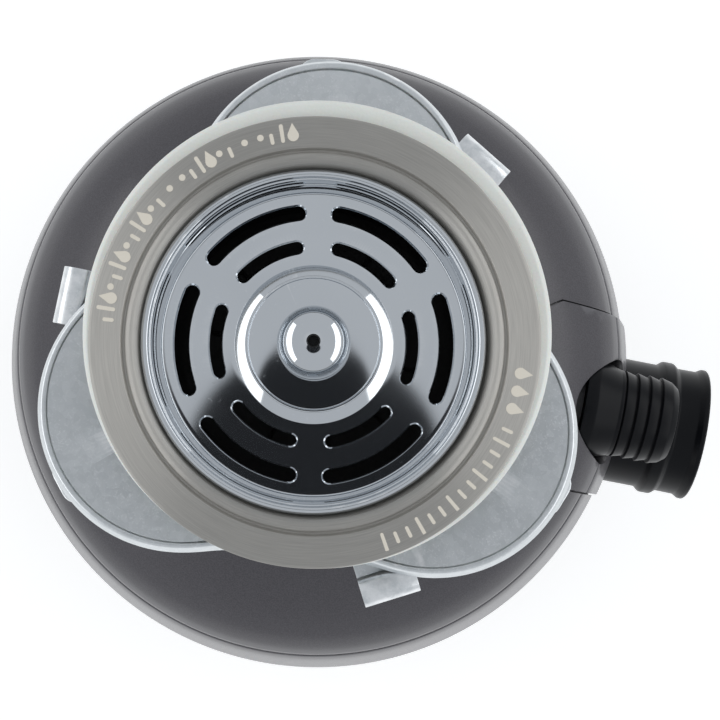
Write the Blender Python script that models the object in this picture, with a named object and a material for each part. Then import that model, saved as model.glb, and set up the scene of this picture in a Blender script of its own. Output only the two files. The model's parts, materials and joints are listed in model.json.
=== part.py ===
"""A kitchen garbage disposal with its sink flange and three-lobed quick-lock mount.

Frame: the shaft axis is Z, the base stands on Z = 0, and the discharge tube points along +X.
Every length below is in millimetres; the shape helpers turn them into metres.
"""
import math

import bmesh
import bpy
from mathutils import Matrix, Vector

MM = 0.001
GAP = 0.3                      # clearance that neighbouring pieces keep

# Driving dimensions
HEIGHT = 320.0                 # base to the top of the sink flange
BODY_R = 97.6                  # widest radius of the housing
SEAM_R = 88.5                  # radius of the seam between upper shell and body shell
SEAM_Z = HEIGHT - 78.0
FLANGE_R = 57.5                # flange for a 3.5 inch sink opening, 115 mm across
THROAT_R = 43.0                # inside of the flange sleeve
SLEEVE_WALL = 1.0
SLEEVE_END_Z = HEIGHT - 44.0
GASKET_R = 60.0
GASKET_BORE_R = 49.3
GASKET_SHIFT = (0.21, 2.33)    # the soft gasket lies a little off centre
STRAINER_PLATE_Z = HEIGHT - 17.0
STRAINER_R = 39.6
STRAINER_SHIFT = (-0.41, 0.02)  # the loose strainer rests against one side of the throat
SLOT_ROWS = ((34.9, 1.8, 22.0), (25.9, 1.55, 19.0))   # centre radius, half width, half span in degrees
FIRST_SLOT = 8.9
STEM_HOLE_R = 4.3
RING_Z = HEIGHT - 17.0         # top of the lobed mounting ring
LOBE_R = 38.1
LOBE_CENTRE_R = 39.4
LOBE_ANGLES = (95.1, 215.1, 335.1)
RING_SHIFT = (0.11, -0.59)     # play of the lobed ring round the sleeve
MOUNT_SCREW_CIRCLE_R = 51.5
RING_BASE_R = 57.5
RING_SKIRT = 9.0
LOCK_Z = HEIGHT - 34.0         # underside of the lock ring
LOCK_PLATE_R = 59.0
TAB_ROOT_R = 56.0              # where lugs and ears start on the plate
LUG_ANGLES = (59.3, 179.3, 298.0)
EAR_ANGLES = (99.3, 219.3, 339.3)
LUG_R = 71.0
LUG_WIDTH = 15.5
EAR_R = 79.0
EAR_WIDTH = 14.0
CHAMBER_R = 74.0               # inside of the grinding chamber
CHAMBER_WALL = 3.0
CHAMBER_FLOOR_Z = 177.8
TURNTABLE_Z = HEIGHT - 106.0   # underside of the turntable
TURNTABLE_R = 68.0
INLET_Z = HEIGHT - 78.0        # axis of the dishwasher spigot
OUTLET_Z = HEIGHT - 125.0      # axis of the discharge tube
OUTLET_R = 20.0
OUTLET_BORE_R = 17.0
OUTLET_END_X = 123.7
CLAMP_SCREW_Y = 27.0           # clamp screws beside the discharge tube
INLET_BORE_R = 8.5
INLET_END_X = 106.8
INLET_HOLE_R = 15.8
PANEL_Y = (-25.0, 28.2)        # sides of the outlet cover
PANEL_INNER_X = 60.5
PANEL_CORNER_X = 66.8          # where the cover's inner corners are cut off
PANEL_CUT_Y = 4.4
PANEL_LOW_Z = 150.0
PANEL_PROUD = (1.04, 0.78)     # how far the cover stands out and up from the shell
GLAND_Z = 34.0
TERMINAL_SCREW_AT = (24.0, -27.0)
RESET_AT = (0.0, 28.0)
SHELL_WALL = 2.5
SHAFT_R = 6.0
PIVOT_R = 44.0                 # impeller pivots on the turntable
STATOR_Z = (75.0, 135.0)
BOLT_R = 66.5                  # circle of the motor's through bolts

SHELL_STEPS = 32
INNER_STEPS = 24
SMALL_STEPS = 12
HEX_FLAT = math.cos(math.pi / 6)   # a hexagon's half width over its corner radius


# ---------------------------------------------------------------- helpers

def clear_scene():
    """Remove every object of the open scene."""
    for obj in list(bpy.data.objects):
        bpy.data.objects.remove(obj, do_unlink=True)


def make_material(name, colour, roughness, metallic=0.0):
    """Return a Principled material of one colour."""
    material = bpy.data.materials.new(name)
    material.use_nodes = True
    shader = material.node_tree.nodes["Principled BSDF"]
    shader.inputs["Base Color"].default_value = (*colour, 1.0)
    shader.inputs["Roughness"].default_value = roughness
    shader.inputs["Metallic"].default_value = metallic
    return material


def make_object(name, bm, material, place=None, parent=None):
    """Turn a bmesh in millimetres into a smooth-shaded object in metres, with its normals outside."""
    bmesh.ops.remove_doubles(bm, verts=bm.verts, dist=1e-4)
    bmesh.ops.recalc_face_normals(bm, faces=bm.faces)
    bmesh.ops.scale(bm, vec=(MM, MM, MM), verts=bm.verts)
    mesh = bpy.data.meshes.new(name)
    bm.to_mesh(mesh)
    bm.free()
    mesh.shade_smooth()
    mesh.set_sharp_from_angle(angle=math.radians(30))
    mesh.materials.append(material)
    obj = bpy.data.objects.new(name, mesh)
    bpy.context.collection.objects.link(obj)
    if place is not None:
        obj.location = Vector(place) * MM
    if parent is not None:
        obj.parent = parent
    return obj


def turned_bmesh(profile, steps, closed=True):
    """Spin an (radius, height) outline about Z; a closed outline makes a ring, an open one a solid."""
    bm = bmesh.new()
    verts = [bm.verts.new((radius, 0.0, height)) for radius, height in profile]
    edges = [bm.edges.new(pair) for pair in zip(verts, verts[1:])]
    if closed:
        edges.append(bm.edges.new((verts[-1], verts[0])))
    bmesh.ops.spin(bm, geom=verts + edges, cent=(0, 0, 0), axis=(0, 0, 1),
                   angle=math.tau, steps=steps, use_merge=True)
    return bm


def turned(name, profile, material, steps=INNER_STEPS, closed=True, place=None, parent=None, turn=None):
    """Make a turned piece; turn is a rotation matrix that lays its axis down."""
    bm = turned_bmesh(profile, steps, closed)
    if turn is not None:
        bmesh.ops.transform(bm, matrix=turn, verts=bm.verts)
    return make_object(name, bm, material, place, parent)


def ring_profile(inner, outer, low, high):
    """Outline of a plain ring."""
    return [(inner, low), (outer, low), (outer, high), (inner, high)]


def solid_profile(outline):
    """Outline of a solid turned piece, from the axis and back to it."""
    return [(0.0, outline[0][1])] + outline + [(0.0, outline[-1][1])]


def prism_bmesh(outline, low, high):
    """Extrude a flat (x, y) outline from low to high."""
    bm = bmesh.new()
    face = bm.faces.new([bm.verts.new((x, y, low)) for x, y in outline])
    grown = bmesh.ops.extrude_face_region(bm, geom=[face])
    top = [v for v in grown["geom"] if isinstance(v, bmesh.types.BMVert)]
    bmesh.ops.translate(bm, vec=(0, 0, high - low), verts=top)
    return bm


def arc(centre, radius, start, end, steps):
    """Points of an arc from start to end degrees."""
    angles = [math.radians(start + (end - start) * i / steps) for i in range(steps + 1)]
    return [(centre[0] + radius * math.cos(a), centre[1] + radius * math.sin(a)) for a in angles]


def round_box(x_low, x_high, y_low, y_high, radius, steps=4):
    """Outline of a rectangle with rounded corners."""
    corners = (((x_high - radius, y_high - radius), 0), ((x_low + radius, y_high - radius), 90),
               ((x_low + radius, y_low + radius), 180), ((x_high - radius, y_low + radius), 270))
    return [point for centre, start in corners for point in arc(centre, radius, start, start + 90, steps)]


def thick_line(points, thickness):
    """Outline of a bent strip: the line's points offset to both sides."""
    half = thickness / 2.0
    left, right = [], []
    for i, point in enumerate(points):
        before = Vector(points[max(i - 1, 0)])
        after = Vector(points[min(i + 1, len(points) - 1)])
        along = (after - before).normalized()
        side = Vector((-along.y, along.x)) * half
        left.append(tuple(Vector(point) + side))
        right.append(tuple(Vector(point) - side))
    return left + right[::-1]


def inset_line(points, distance):
    """The line moved to its right by distance, used for the inside of a shell."""
    moved = []
    for i, point in enumerate(points):
        before = Vector(points[max(i - 1, 0)])
        after = Vector(points[min(i + 1, len(points) - 1)])
        along = (after - before).normalized()
        moved.append((point[0] - abs(along.y) * distance, point[1] - abs(along.x) * distance))
    return moved


def cutter(name, bm):
    """Make a hidden cutting body."""
    obj = make_object(name, bm, None)
    obj.hide_render = True
    obj.display_type = "WIRE"
    return obj


def combine(obj, tool, operation):
    """Add a Boolean modifier."""
    modifier = obj.modifiers.new(operation.title(), "BOOLEAN")
    modifier.operation = operation
    modifier.solver = "EXACT"
    modifier.object = tool


def cylinder_bmesh(radius, low, high, steps=INNER_STEPS, axis="Z", centre=(0.0, 0.0, 0.0)):
    """A cylinder from low to high along an axis through centre."""
    bm = turned_bmesh(solid_profile([(radius, low), (radius, high)]), steps, closed=False)
    bmesh.ops.remove_doubles(bm, verts=bm.verts, dist=1e-4)
    if axis == "X":
        bmesh.ops.rotate(bm, matrix=Matrix.Rotation(math.pi / 2, 3, "Y"), verts=bm.verts)
    bmesh.ops.translate(bm, vec=centre, verts=bm.verts)
    return bm


def join_bmeshes(parts):
    """Gather several bmeshes into one."""
    whole = bmesh.new()
    for part in parts:
        mesh = bpy.data.meshes.new("join")
        part.to_mesh(mesh)
        part.free()
        whole.from_mesh(mesh)
        bpy.data.meshes.remove(mesh)
    return whole


def polar(radius, degrees):
    """Point at a radius and an angle."""
    return (radius * math.cos(math.radians(degrees)), radius * math.sin(math.radians(degrees)))


def about_z(bm, degrees):
    """Turn a bmesh about Z."""
    bmesh.ops.rotate(bm, matrix=Matrix.Rotation(math.radians(degrees), 3, "Z"), verts=bm.verts)
    return bm


def tangent_prism(outline, width):
    """A strip section drawn as (radius, height), extruded width across the radius along +X."""
    bm = prism_bmesh(outline, -width / 2.0, width / 2.0)
    stand = Matrix(((1, 0, 0), (0, 0, -1), (0, 1, 0)))
    bmesh.ops.rotate(bm, matrix=stand, verts=bm.verts)
    return bm


LIE_DOWN = Matrix.Rotation(math.pi / 2, 4, "Y")   # local +Z turns to +X


# ---------------------------------------------------------------- materials

def make_materials():
    """Every material of the model, by a short name."""
    return {
        "shell": make_material("charcoal_plastic", (0.095, 0.09, 0.1), 0.42, 0.25),
        "zinc": make_material("zinc_plate", (0.62, 0.64, 0.66), 0.3, 1.0),
        "steel": make_material("brushed_steel", (0.6, 0.57, 0.53), 0.28, 1.0),
        "chrome": make_material("chrome", (0.8, 0.82, 0.84), 0.06, 1.0),
        "gasket": make_material("pale_rubber", (0.72, 0.72, 0.68), 0.6),
        "rubber": make_material("black_rubber", (0.012, 0.012, 0.013), 0.5),
        "black": make_material("black_plastic", (0.015, 0.015, 0.017), 0.3),
        "cast": make_material("cast_aluminium", (0.45, 0.46, 0.47), 0.5, 1.0),
        "core": make_material("core_steel", (0.28, 0.28, 0.3), 0.45, 1.0),
        "copper": make_material("varnished_copper", (0.5, 0.2, 0.08), 0.35, 1.0),
        "foam": make_material("grey_foam", (0.25, 0.25, 0.26), 0.9),
        "fibre": make_material("fibre_sheet", (0.2, 0.15, 0.1), 0.8),
        "red": make_material("red_plastic", (0.6, 0.03, 0.02), 0.35),
        "chamber": make_material("moulded_chamber", (0.05, 0.05, 0.055), 0.5),
    }


# ---------------------------------------------------------------- sink mount

def depth(points):
    """Turn (radius, depth under the flange top) into (radius, height)."""
    return [(radius, HEIGHT - down) for radius, down in points]


def build_sink_flange(mats):
    """The stainless flange with its rolled lip, and the sleeve that hangs from it."""
    outer = THROAT_R + SLEEVE_WALL
    end = HEIGHT - SLEEVE_END_Z
    outline = [(FLANGE_R, 2.9), (FLANGE_R, 0.9), (57.0, 0.3), (50.0, 0.6), (48.8, 1.2),
               (47.0, 0.0), (45.5, 1.2), (45.3, 3.4), (THROAT_R, 7.0), (THROAT_R, end), (outer, end),
               (outer, 7.6), (46.4, 2.9)]
    turned("sink_flange", depth(outline), mats["steel"], SHELL_STEPS)


def build_gaskets(mats):
    """Soft gasket, fibre gasket and backup ring, which clamp the sink between them."""
    soft = [(GASKET_BORE_R, 3.3), (59.2, 3.3), (GASKET_R, 4.1), (GASKET_R, 5.4), (59.4, 6.0),
            (GASKET_BORE_R, 6.0)]
    turned("sink_gasket", depth(soft), mats["gasket"], SHELL_STEPS, place=(*GASKET_SHIFT, 0))
    turned("fibre_gasket", ring_profile(45.6, 56.0, HEIGHT - 7.8, HEIGHT - 6.3), mats["fibre"], SHELL_STEPS)
    backup = [(45.6, 8.1), (56.4, 8.1), (57.0, 8.7), (57.0, 12.5), (55.4, 12.5), (55.4, 9.9), (45.6, 9.9)]
    turned("backup_ring", depth(backup), mats["zinc"], SHELL_STEPS)


def ring_outline(degrees):
    """Radius of the lobed ring at an angle: three lobes blended into the base circle."""
    blend = 26.0
    total = RING_BASE_R ** blend
    for lobe in LOBE_ANGLES:
        offset = math.radians((degrees - lobe + 180.0) % 360.0 - 180.0)
        across = LOBE_CENTRE_R * math.sin(offset)
        if abs(across) < LOBE_R and math.cos(offset) > 0:
            reach = LOBE_CENTRE_R * math.cos(offset) + math.sqrt(LOBE_R ** 2 - across ** 2)
            total += reach ** blend
    return total ** (1.0 / blend)


def mount_screw_place(angle):
    """Axis of the mount screw at an angle."""
    across, along = polar(MOUNT_SCREW_CIRCLE_R, angle)
    return (across + RING_SHIFT[0], along + RING_SHIFT[1], 0)


def build_mounting_ring(mats):
    """The pressed ring with three lobes and a turned-down skirt."""
    low = RING_Z - RING_SKIRT
    wall = 2.0
    inner = THROAT_R + SLEEVE_WALL + 1.0
    edge = RING_BASE_R
    top_edge = edge - 1.4      # the skirt flares out below the top edge
    section = [(inner, RING_Z), (top_edge - 2.4, RING_Z), (top_edge - 0.7, RING_Z - 0.7),
               (top_edge, RING_Z - 2.4), (edge, low), (edge - wall, low),
               (top_edge - wall, RING_Z - wall - 0.8), (inner, RING_Z - wall)]
    steps = 60
    bm = turned_bmesh(section, steps)
    for vert in bm.verts:
        radius = math.hypot(vert.co.x, vert.co.y)
        if radius > inner + 1.0:
            degrees = math.degrees(math.atan2(vert.co.y, vert.co.x))
            grow = (radius + ring_outline(degrees) - RING_BASE_R) / radius
            vert.co.x *= grow
            vert.co.y *= grow
    ring = make_object("upper_mount_ring", bm, mats["zinc"], (*RING_SHIFT, 0))
    holes = [cylinder_bmesh(2.9, RING_Z - 6, RING_Z + 4, SMALL_STEPS, centre=mount_screw_place(angle))
             for angle in LOBE_ANGLES]
    combine(ring, cutter("cut_ring_screws", join_bmeshes(holes)), "DIFFERENCE")


def build_mount_screws(mats):
    """Three screws that push the backup ring against the sink, and the snap ring that holds all."""
    outline = solid_profile([(3.9, HEIGHT - 27.0), (4.2, HEIGHT - 26.2), (4.2, HEIGHT - 24.2), (2.5, HEIGHT - 24.2),
                             (2.5, HEIGHT - 13.6), (1.2, HEIGHT - 12.9)])
    for number, angle in enumerate(LOBE_ANGLES, start=1):
        turned(f"mount_screw_{number}", outline, mats["zinc"], SMALL_STEPS, closed=False,
               place=mount_screw_place(angle))
    wire = arc((THROAT_R + SLEEVE_WALL + GAP + 1.1, RING_Z - 2.0 - GAP - 1.1), 1.1, 0, 315, 7)
    turned("snap_ring", wire, mats["steel"], SHELL_STEPS)


def build_lock_ring(mats):
    """The turning ring: collar under the neck, three rolled wrench lugs and three round ears."""
    top = LOCK_Z + 2.0
    section = [(51.0, top), (LOCK_PLATE_R, top), (LOCK_PLATE_R, LOCK_Z), (53.0, LOCK_Z), (53.0, HEIGHT - 52.5),
               (48.6, HEIGHT - 52.5), (48.6, HEIGHT - 50.5), (51.0, HEIGHT - 50.5)]
    ring = turned("lock_ring", section, mats["zinc"], SHELL_STEPS)
    roll_r = 3.0
    roll = arc((LUG_R - 1.0 - roll_r, LOCK_Z + 1.0 + roll_r), roll_r, -90, 150, 7)
    lug = thick_line([(TAB_ROOT_R, LOCK_Z + 1.0)] + roll, 1.9)
    ear = round_box(TAB_ROOT_R, EAR_R, -EAR_WIDTH / 2, EAR_WIDTH / 2, 4.5, 3)
    tools = [about_z(tangent_prism(lug, LUG_WIDTH), angle) for angle in LUG_ANGLES]
    tools += [about_z(prism_bmesh(ear, LOCK_Z + 0.1, top - 0.1), angle) for angle in EAR_ANGLES]
    combine(ring, cutter("add_lugs", join_bmeshes(tools)), "UNION")


def build_splash_baffle(mats):
    """Rubber cushion on the neck; its disc has the mouth that food is pushed through."""
    outline = [(40.6, 44.3), (49.0, 44.3), (49.0, 47.3), (43.7, 47.3), (43.7, 58.0), (39.0, 61.4),
               (15.0, 63.0), (15.0, 61.2), (38.0, 59.0), (40.6, 56.6)]
    turned("splash_baffle", depth(outline), mats["rubber"], SHELL_STEPS)


# ---------------------------------------------------------------- strainer

def build_strainer(mats):
    """Lift-out basket with stepped rim, slotted plate and raised hub, its knob and the nut below."""
    axis = bpy.data.objects.new("strainer_axis", None)
    axis.location = Vector((*STRAINER_SHIFT, 0)) * MM
    bpy.context.collection.objects.link(axis)
    plate = HEIGHT - STRAINER_PLATE_Z
    outline = [(44.3, 3.6), (43.3, 2.6), (41.6, 3.3), (40.9, 7.2), (40.2, 8.0), (STRAINER_R, plate),
               (21.0, plate), (17.9, plate - 3.2), (STEM_HOLE_R, plate - 3.8), (STEM_HOLE_R, plate - 2.2),
               (17.0, plate - 1.8), (20.4, plate + 1.2), (40.8, plate + 1.2), (41.6, 8.2), (43.7, 4.6)]
    basket = turned("strainer_basket", depth(outline), mats["chrome"], SHELL_STEPS, parent=axis)
    slots = []
    for centre_r, half_width, half_span in SLOT_ROWS:
        for index in range(6):
            middle = FIRST_SLOT + 60.0 * index
            shape = arc((0, 0), centre_r + half_width, middle - half_span, middle + half_span, 4)
            shape += arc((0, 0), centre_r - half_width, middle + half_span, middle - half_span, 4)
            slots.append(prism_bmesh(shape, STRAINER_PLATE_Z - 4, STRAINER_PLATE_Z + 4))
    tool = cutter("cut_strainer_slots", join_bmeshes(slots))
    tool.parent = axis
    combine(basket, tool, "DIFFERENCE")

    knob = [(0.0, 3.6), (1.8, 3.6), (1.8, 0.8), (4.6, 1.2), (7.8, 3.4), (9.3, 6.8), (8.8, 9.6),
            (6.8, plate - 4.1), (3.9, plate - 4.1), (3.9, 21.0), (0.0, 21.0)]
    turned("strainer_knob", depth(knob), mats["chrome"], INNER_STEPS, closed=False, parent=axis)
    turned("strainer_nut", ring_profile(4.2 / HEX_FLAT, 7.8, HEIGHT - 19.4, HEIGHT - plate + 1.9),
           mats["steel"], steps=6, parent=axis)


# ---------------------------------------------------------------- housing

SHELL_LINE = [(54.6, HEIGHT - 52.2), (57.0, HEIGHT - 53.4), (66.0, HEIGHT - 57.8), (73.0, HEIGHT - 61.6),
              (78.0, HEIGHT - 64.9), (82.5, HEIGHT - 68.6), (85.8, HEIGHT - 72.6), (87.8, HEIGHT - 76.4),
              (SEAM_R, SEAM_Z)]
BODY_LINE = [(SEAM_R + 0.2, SEAM_Z - GAP), (90.4, SEAM_Z - 6), (93.6, SEAM_Z - 19), (96.1, SEAM_Z - 32),
             (BODY_R, OUTLET_Z - 4), (BODY_R, 120.0), (96.9, 60.0), (95.8, 26.0), (95.2, 12.5)]


def panel_prism(margin, low):
    """The outline of the outlet cover seen from above, as an upright block."""
    right, left = PANEL_Y[0] - margin, PANEL_Y[1] + margin
    corner, inner = PANEL_CORNER_X - 0.3 * margin, PANEL_INNER_X - margin
    cut = PANEL_CUT_Y + 0.25 * margin
    outline = [(140.0, right), (140.0, left), (corner, left), (inner, left - cut), (inner, right + cut),
               (corner, right)]
    return prism_bmesh(outline, low, HEIGHT)


def build_shells(mats):
    """Upper shell and body shell, with the bay for the outlet cover cut out of both."""
    upper = turned("upper_shell", SHELL_LINE + inset_line(SHELL_LINE, SHELL_WALL)[::-1], mats["shell"],
                   SHELL_STEPS)
    body = turned("body_shell", BODY_LINE + inset_line(BODY_LINE, SHELL_WALL)[::-1], mats["shell"],
                  SHELL_STEPS)
    bay = cutter("cut_panel_bay", panel_prism(GAP, PANEL_LOW_Z - GAP))
    combine(upper, bay, "DIFFERENCE")
    combine(body, bay, "DIFFERENCE")
    gland = cutter("cut_gland", cylinder_bmesh(9.3, -120, -80, SMALL_STEPS, "X", (0, 0, GLAND_Z)))
    combine(body, gland, "DIFFERENCE")


def build_outlet_cover(mats):
    """The cover over both spigots: a patch of the housing that stands slightly proud."""
    line = SHELL_LINE[1:] + BODY_LINE[1:6]
    outer = [(radius + PANEL_PROUD[0], height + PANEL_PROUD[1]) for radius, height in line]
    inner = inset_line(line, SHELL_WALL)
    cover = turned("outlet_cover", outer + inner[::-1], mats["shell"], SHELL_STEPS)
    combine(cover, cutter("keep_panel", panel_prism(0.0, PANEL_LOW_Z)), "INTERSECT")
    tube = cylinder_bmesh(OUTLET_R + 1.0, 80, 130, INNER_STEPS, "X", (0, 0, OUTLET_Z))
    spigot = cylinder_bmesh(INLET_HOLE_R, 62, 130, INNER_STEPS, "X", (0, 0, INLET_Z))
    combine(cover, cutter("cut_tube_hole", tube), "DIFFERENCE")
    combine(cover, cutter("cut_spigot_hole", spigot), "DIFFERENCE")


def build_bottom(mats):
    """Bottom cover with its pedestal, the terminal cover and its screw, and the cord gland."""
    outline = [(0.0, 0.0), (84.0, 0.0), (89.0, 1.2), (93.0, 5.0), (94.9, 12.2), (92.4, 12.2), (90.8, 6.6),
               (87.4, 3.4), (48.0, 3.0), (48.0, 43.6), (44.0, 43.6), (44.0, 3.0), (0.0, 3.0)]
    base = turned("bottom_cover", outline, mats["black"], SHELL_STEPS, closed=False)
    window = prism_bmesh(round_box(-30.3, 30.3, -38.3, -15.7, 4.3), -2.0, 1.6)
    combine(base, cutter("cut_terminal_recess", window), "DIFFERENCE")
    button = cylinder_bmesh(5.4, -2, 6, SMALL_STEPS, centre=(*RESET_AT, 0.0))
    combine(base, cutter("cut_button_hole", button), "DIFFERENCE")
    screw = cylinder_bmesh(1.9, 1.0, 2.6, SMALL_STEPS, centre=(*TERMINAL_SCREW_AT, 0.0))
    combine(base, cutter("cut_cover_screw", screw), "DIFFERENCE")
    plate = make_object("terminal_cover", prism_bmesh(round_box(-30.0, 30.0, -38.0, -16.0, 4.0), 0.3, 1.3),
                        mats["zinc"])
    hole = cylinder_bmesh(1.9, -1.0, 4.0, SMALL_STEPS, centre=(*TERMINAL_SCREW_AT, 0.0))
    combine(plate, cutter("cut_plate_screw", hole), "DIFFERENCE")
    turned("terminal_screw", solid_profile([(1.5, 0.4), (1.5, 2.3)]), mats["zinc"], SMALL_STEPS,
           closed=False, place=(*TERMINAL_SCREW_AT, 0.0))
    gland = [(6.0, 88.0), (12.5, 88.0), (12.5, 91.0), (8.9, 91.0), (8.9, 96.9), (11.5, 96.9), (11.5, 98.0),
             (6.0, 98.0)]
    turned("cord_gland", gland, mats["rubber"], SMALL_STEPS, place=(0.0, 0.0, GLAND_Z),
           turn=Matrix.Rotation(-math.pi / 2, 4, "Y"))


def build_reset(mats):
    """Overload protector inside the base, and its sprung reset button."""
    case = solid_profile([(11.0, 17.0), (11.0, 36.0)])
    turned("overload_protector", case, mats["black"], SMALL_STEPS, closed=False, place=(*RESET_AT, 0.0))
    button = solid_profile([(3.8, 1.0), (4.8, 1.8), (5.0, 2.6), (5.0, 13.0)])
    turned("reset_button", button, mats["red"], SMALL_STEPS, closed=False, place=(*RESET_AT, 0.0))


# ---------------------------------------------------------------- grinding chamber

def build_chamber(mats):
    """The moulded chamber with its neck, and the two bosses that the spigots bolt to."""
    outer = [(48.0, HEIGHT - 54.4), (52.0, HEIGHT - 57.6), (66.0, HEIGHT - 65.0), (73.0, HEIGHT - 70.0),
             (CHAMBER_R + CHAMBER_WALL, HEIGHT - 77.0), (CHAMBER_R + CHAMBER_WALL, CHAMBER_FLOOR_Z)]
    lip = [(44.0, HEIGHT - 47.6), (50.4, HEIGHT - 47.6), (50.4, HEIGHT - 50.2), (48.0, HEIGHT - 50.2)]
    inner = [(CHAMBER_R, CHAMBER_FLOOR_Z), (CHAMBER_R, HEIGHT - 79.0), (71.0, HEIGHT - 73.6),
             (64.6, HEIGHT - 68.4), (48.0, HEIGHT - 60.0), (44.0, HEIGHT - 57.0)]
    chamber = turned("grind_chamber", lip + outer + inner, mats["chamber"], SHELL_STEPS)
    boss_r = 23.0
    bosses = cutter("add_bosses", join_bmeshes([
        cylinder_bmesh(boss_r, 66, 78, INNER_STEPS, "X", (0, 0, OUTLET_Z)),
        cylinder_bmesh(13.0, 66, 78.6, INNER_STEPS, "X", (0, 0, INLET_Z)),
        cylinder_bmesh(3.6, 66, 78, SMALL_STEPS, "X", (0, CLAMP_SCREW_Y, OUTLET_Z)),
        cylinder_bmesh(3.6, 66, 78, SMALL_STEPS, "X", (0, -CLAMP_SCREW_Y, OUTLET_Z))]))
    core = cylinder_bmesh(CHAMBER_R + 0.7, CHAMBER_FLOOR_Z - 20, HEIGHT, 48)
    combine(bosses, cutter("trim_bosses", core), "DIFFERENCE")
    below = prism_bmesh(round_box(60, 90, -40, 40, 1.0, 1), CHAMBER_FLOOR_Z - 20, CHAMBER_FLOOR_Z + 0.5)
    combine(bosses, cutter("trim_boss_foot", below), "DIFFERENCE")
    combine(chamber, bosses, "UNION")
    bores = [cylinder_bmesh(16.0, 50, 90, INNER_STEPS, "X", (0, 0, OUTLET_Z)),
             cylinder_bmesh(INLET_BORE_R, 50, 90, INNER_STEPS, "X", (0, 0, INLET_Z))]
    combine(chamber, cutter("cut_bores", join_bmeshes(bores)), "DIFFERENCE")


def build_shredder(mats):
    """The fixed shredder ring with its teeth slots, round the turntable."""
    section = ring_profile(TURNTABLE_R + 1.4, CHAMBER_R - GAP, TURNTABLE_Z - 3, TURNTABLE_Z + 20)
    ring = turned("shredder_ring", section, mats["steel"], SHELL_STEPS)
    slots = []
    for index in range(16):
        box = prism_bmesh(round_box(66.0, 72.0, -2.0, 2.0, 0.6, 1), TURNTABLE_Z - 6, TURNTABLE_Z + 13)
        slots.append(about_z(box, 360.0 * index / 16))
    combine(ring, cutter("cut_shredder_slots", join_bmeshes(slots)), "DIFFERENCE")


def build_turntable(mats, rotor):
    """Turntable on the shaft, with two swivelling impellers on riveted pins and the nut on top."""
    top = TURNTABLE_Z + 3.0
    turned("turntable", ring_profile(SHAFT_R + GAP, TURNTABLE_R, TURNTABLE_Z, top), mats["steel"], 48,
           parent=rotor)
    turned("turntable_nut", ring_profile((SHAFT_R + GAP) / HEX_FLAT, 12.0, top + GAP, top + 7.0),
           mats["steel"], 6, parent=rotor)
    holes = [cylinder_bmesh(3.3, TURNTABLE_Z - 3, top + 3, SMALL_STEPS, centre=(side * PIVOT_R, 0, 0))
             for side in (1, -1)]
    holes += [cylinder_bmesh(3.0, TURNTABLE_Z - 3, top + 3, 12, centre=(*polar(55.0, 45 + 90 * i), 0))
              for i in range(4)]
    combine(bpy.data.objects["turntable"], cutter("cut_turntable", join_bmeshes(holes)), "DIFFERENCE")
    pin = solid_profile([(5.0, TURNTABLE_Z - 2.3), (5.0, TURNTABLE_Z - GAP), (3.0, TURNTABLE_Z - GAP),
                         (3.0, top + 8.6), (5.2, top + 8.6), (4.2, top + 10.6)])
    for number, side in ((1, 1), (2, -1)):
        place = (side * PIVOT_R, 0.0, 0.0)
        turned(f"impeller_pin_{number}", pin, mats["steel"], SMALL_STEPS, closed=False, place=place,
               parent=rotor)
        low, high = top + GAP, top + 8.3
        arm = arc((0, 0), 8.5, 90, 270, 8) + arc((15.0, 0), 6.0, -90, 90, 6)
        bm = prism_bmesh([(-side * x, -side * y) for x, y in arm], low, low + 3.0)
        lug = make_object(f"impeller_{number}", bm, mats["steel"], place, rotor)
        head = [(-side * x, -side * y) for x, y in round_box(8.0, 20.5, -5.5, 5.5, 2.0, 2)]
        block = cutter(f"add_impeller_{number}", prism_bmesh(head, low + 1.0, high + 3.0))
        boss = cutter(f"add_impeller_boss_{number}", cylinder_bmesh(6.5, low + 1.0, high, SMALL_STEPS))
        bore = cutter(f"cut_impeller_{number}", cylinder_bmesh(3.3, low - 4, high + 8, SMALL_STEPS))
        for tool in (block, boss, bore):
            tool.location = Vector(place) * MM
        combine(lug, block, "UNION")
        combine(lug, boss, "UNION")
        combine(lug, bore, "DIFFERENCE")


# ---------------------------------------------------------------- motor

def bolt_holes(low, high):
    """Four upright holes for the through bolts."""
    return join_bmeshes([cylinder_bmesh(2.6, low, high, 12, centre=(*polar(BOLT_R, 45 + 90 * i), 0))
                         for i in range(4)])


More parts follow.
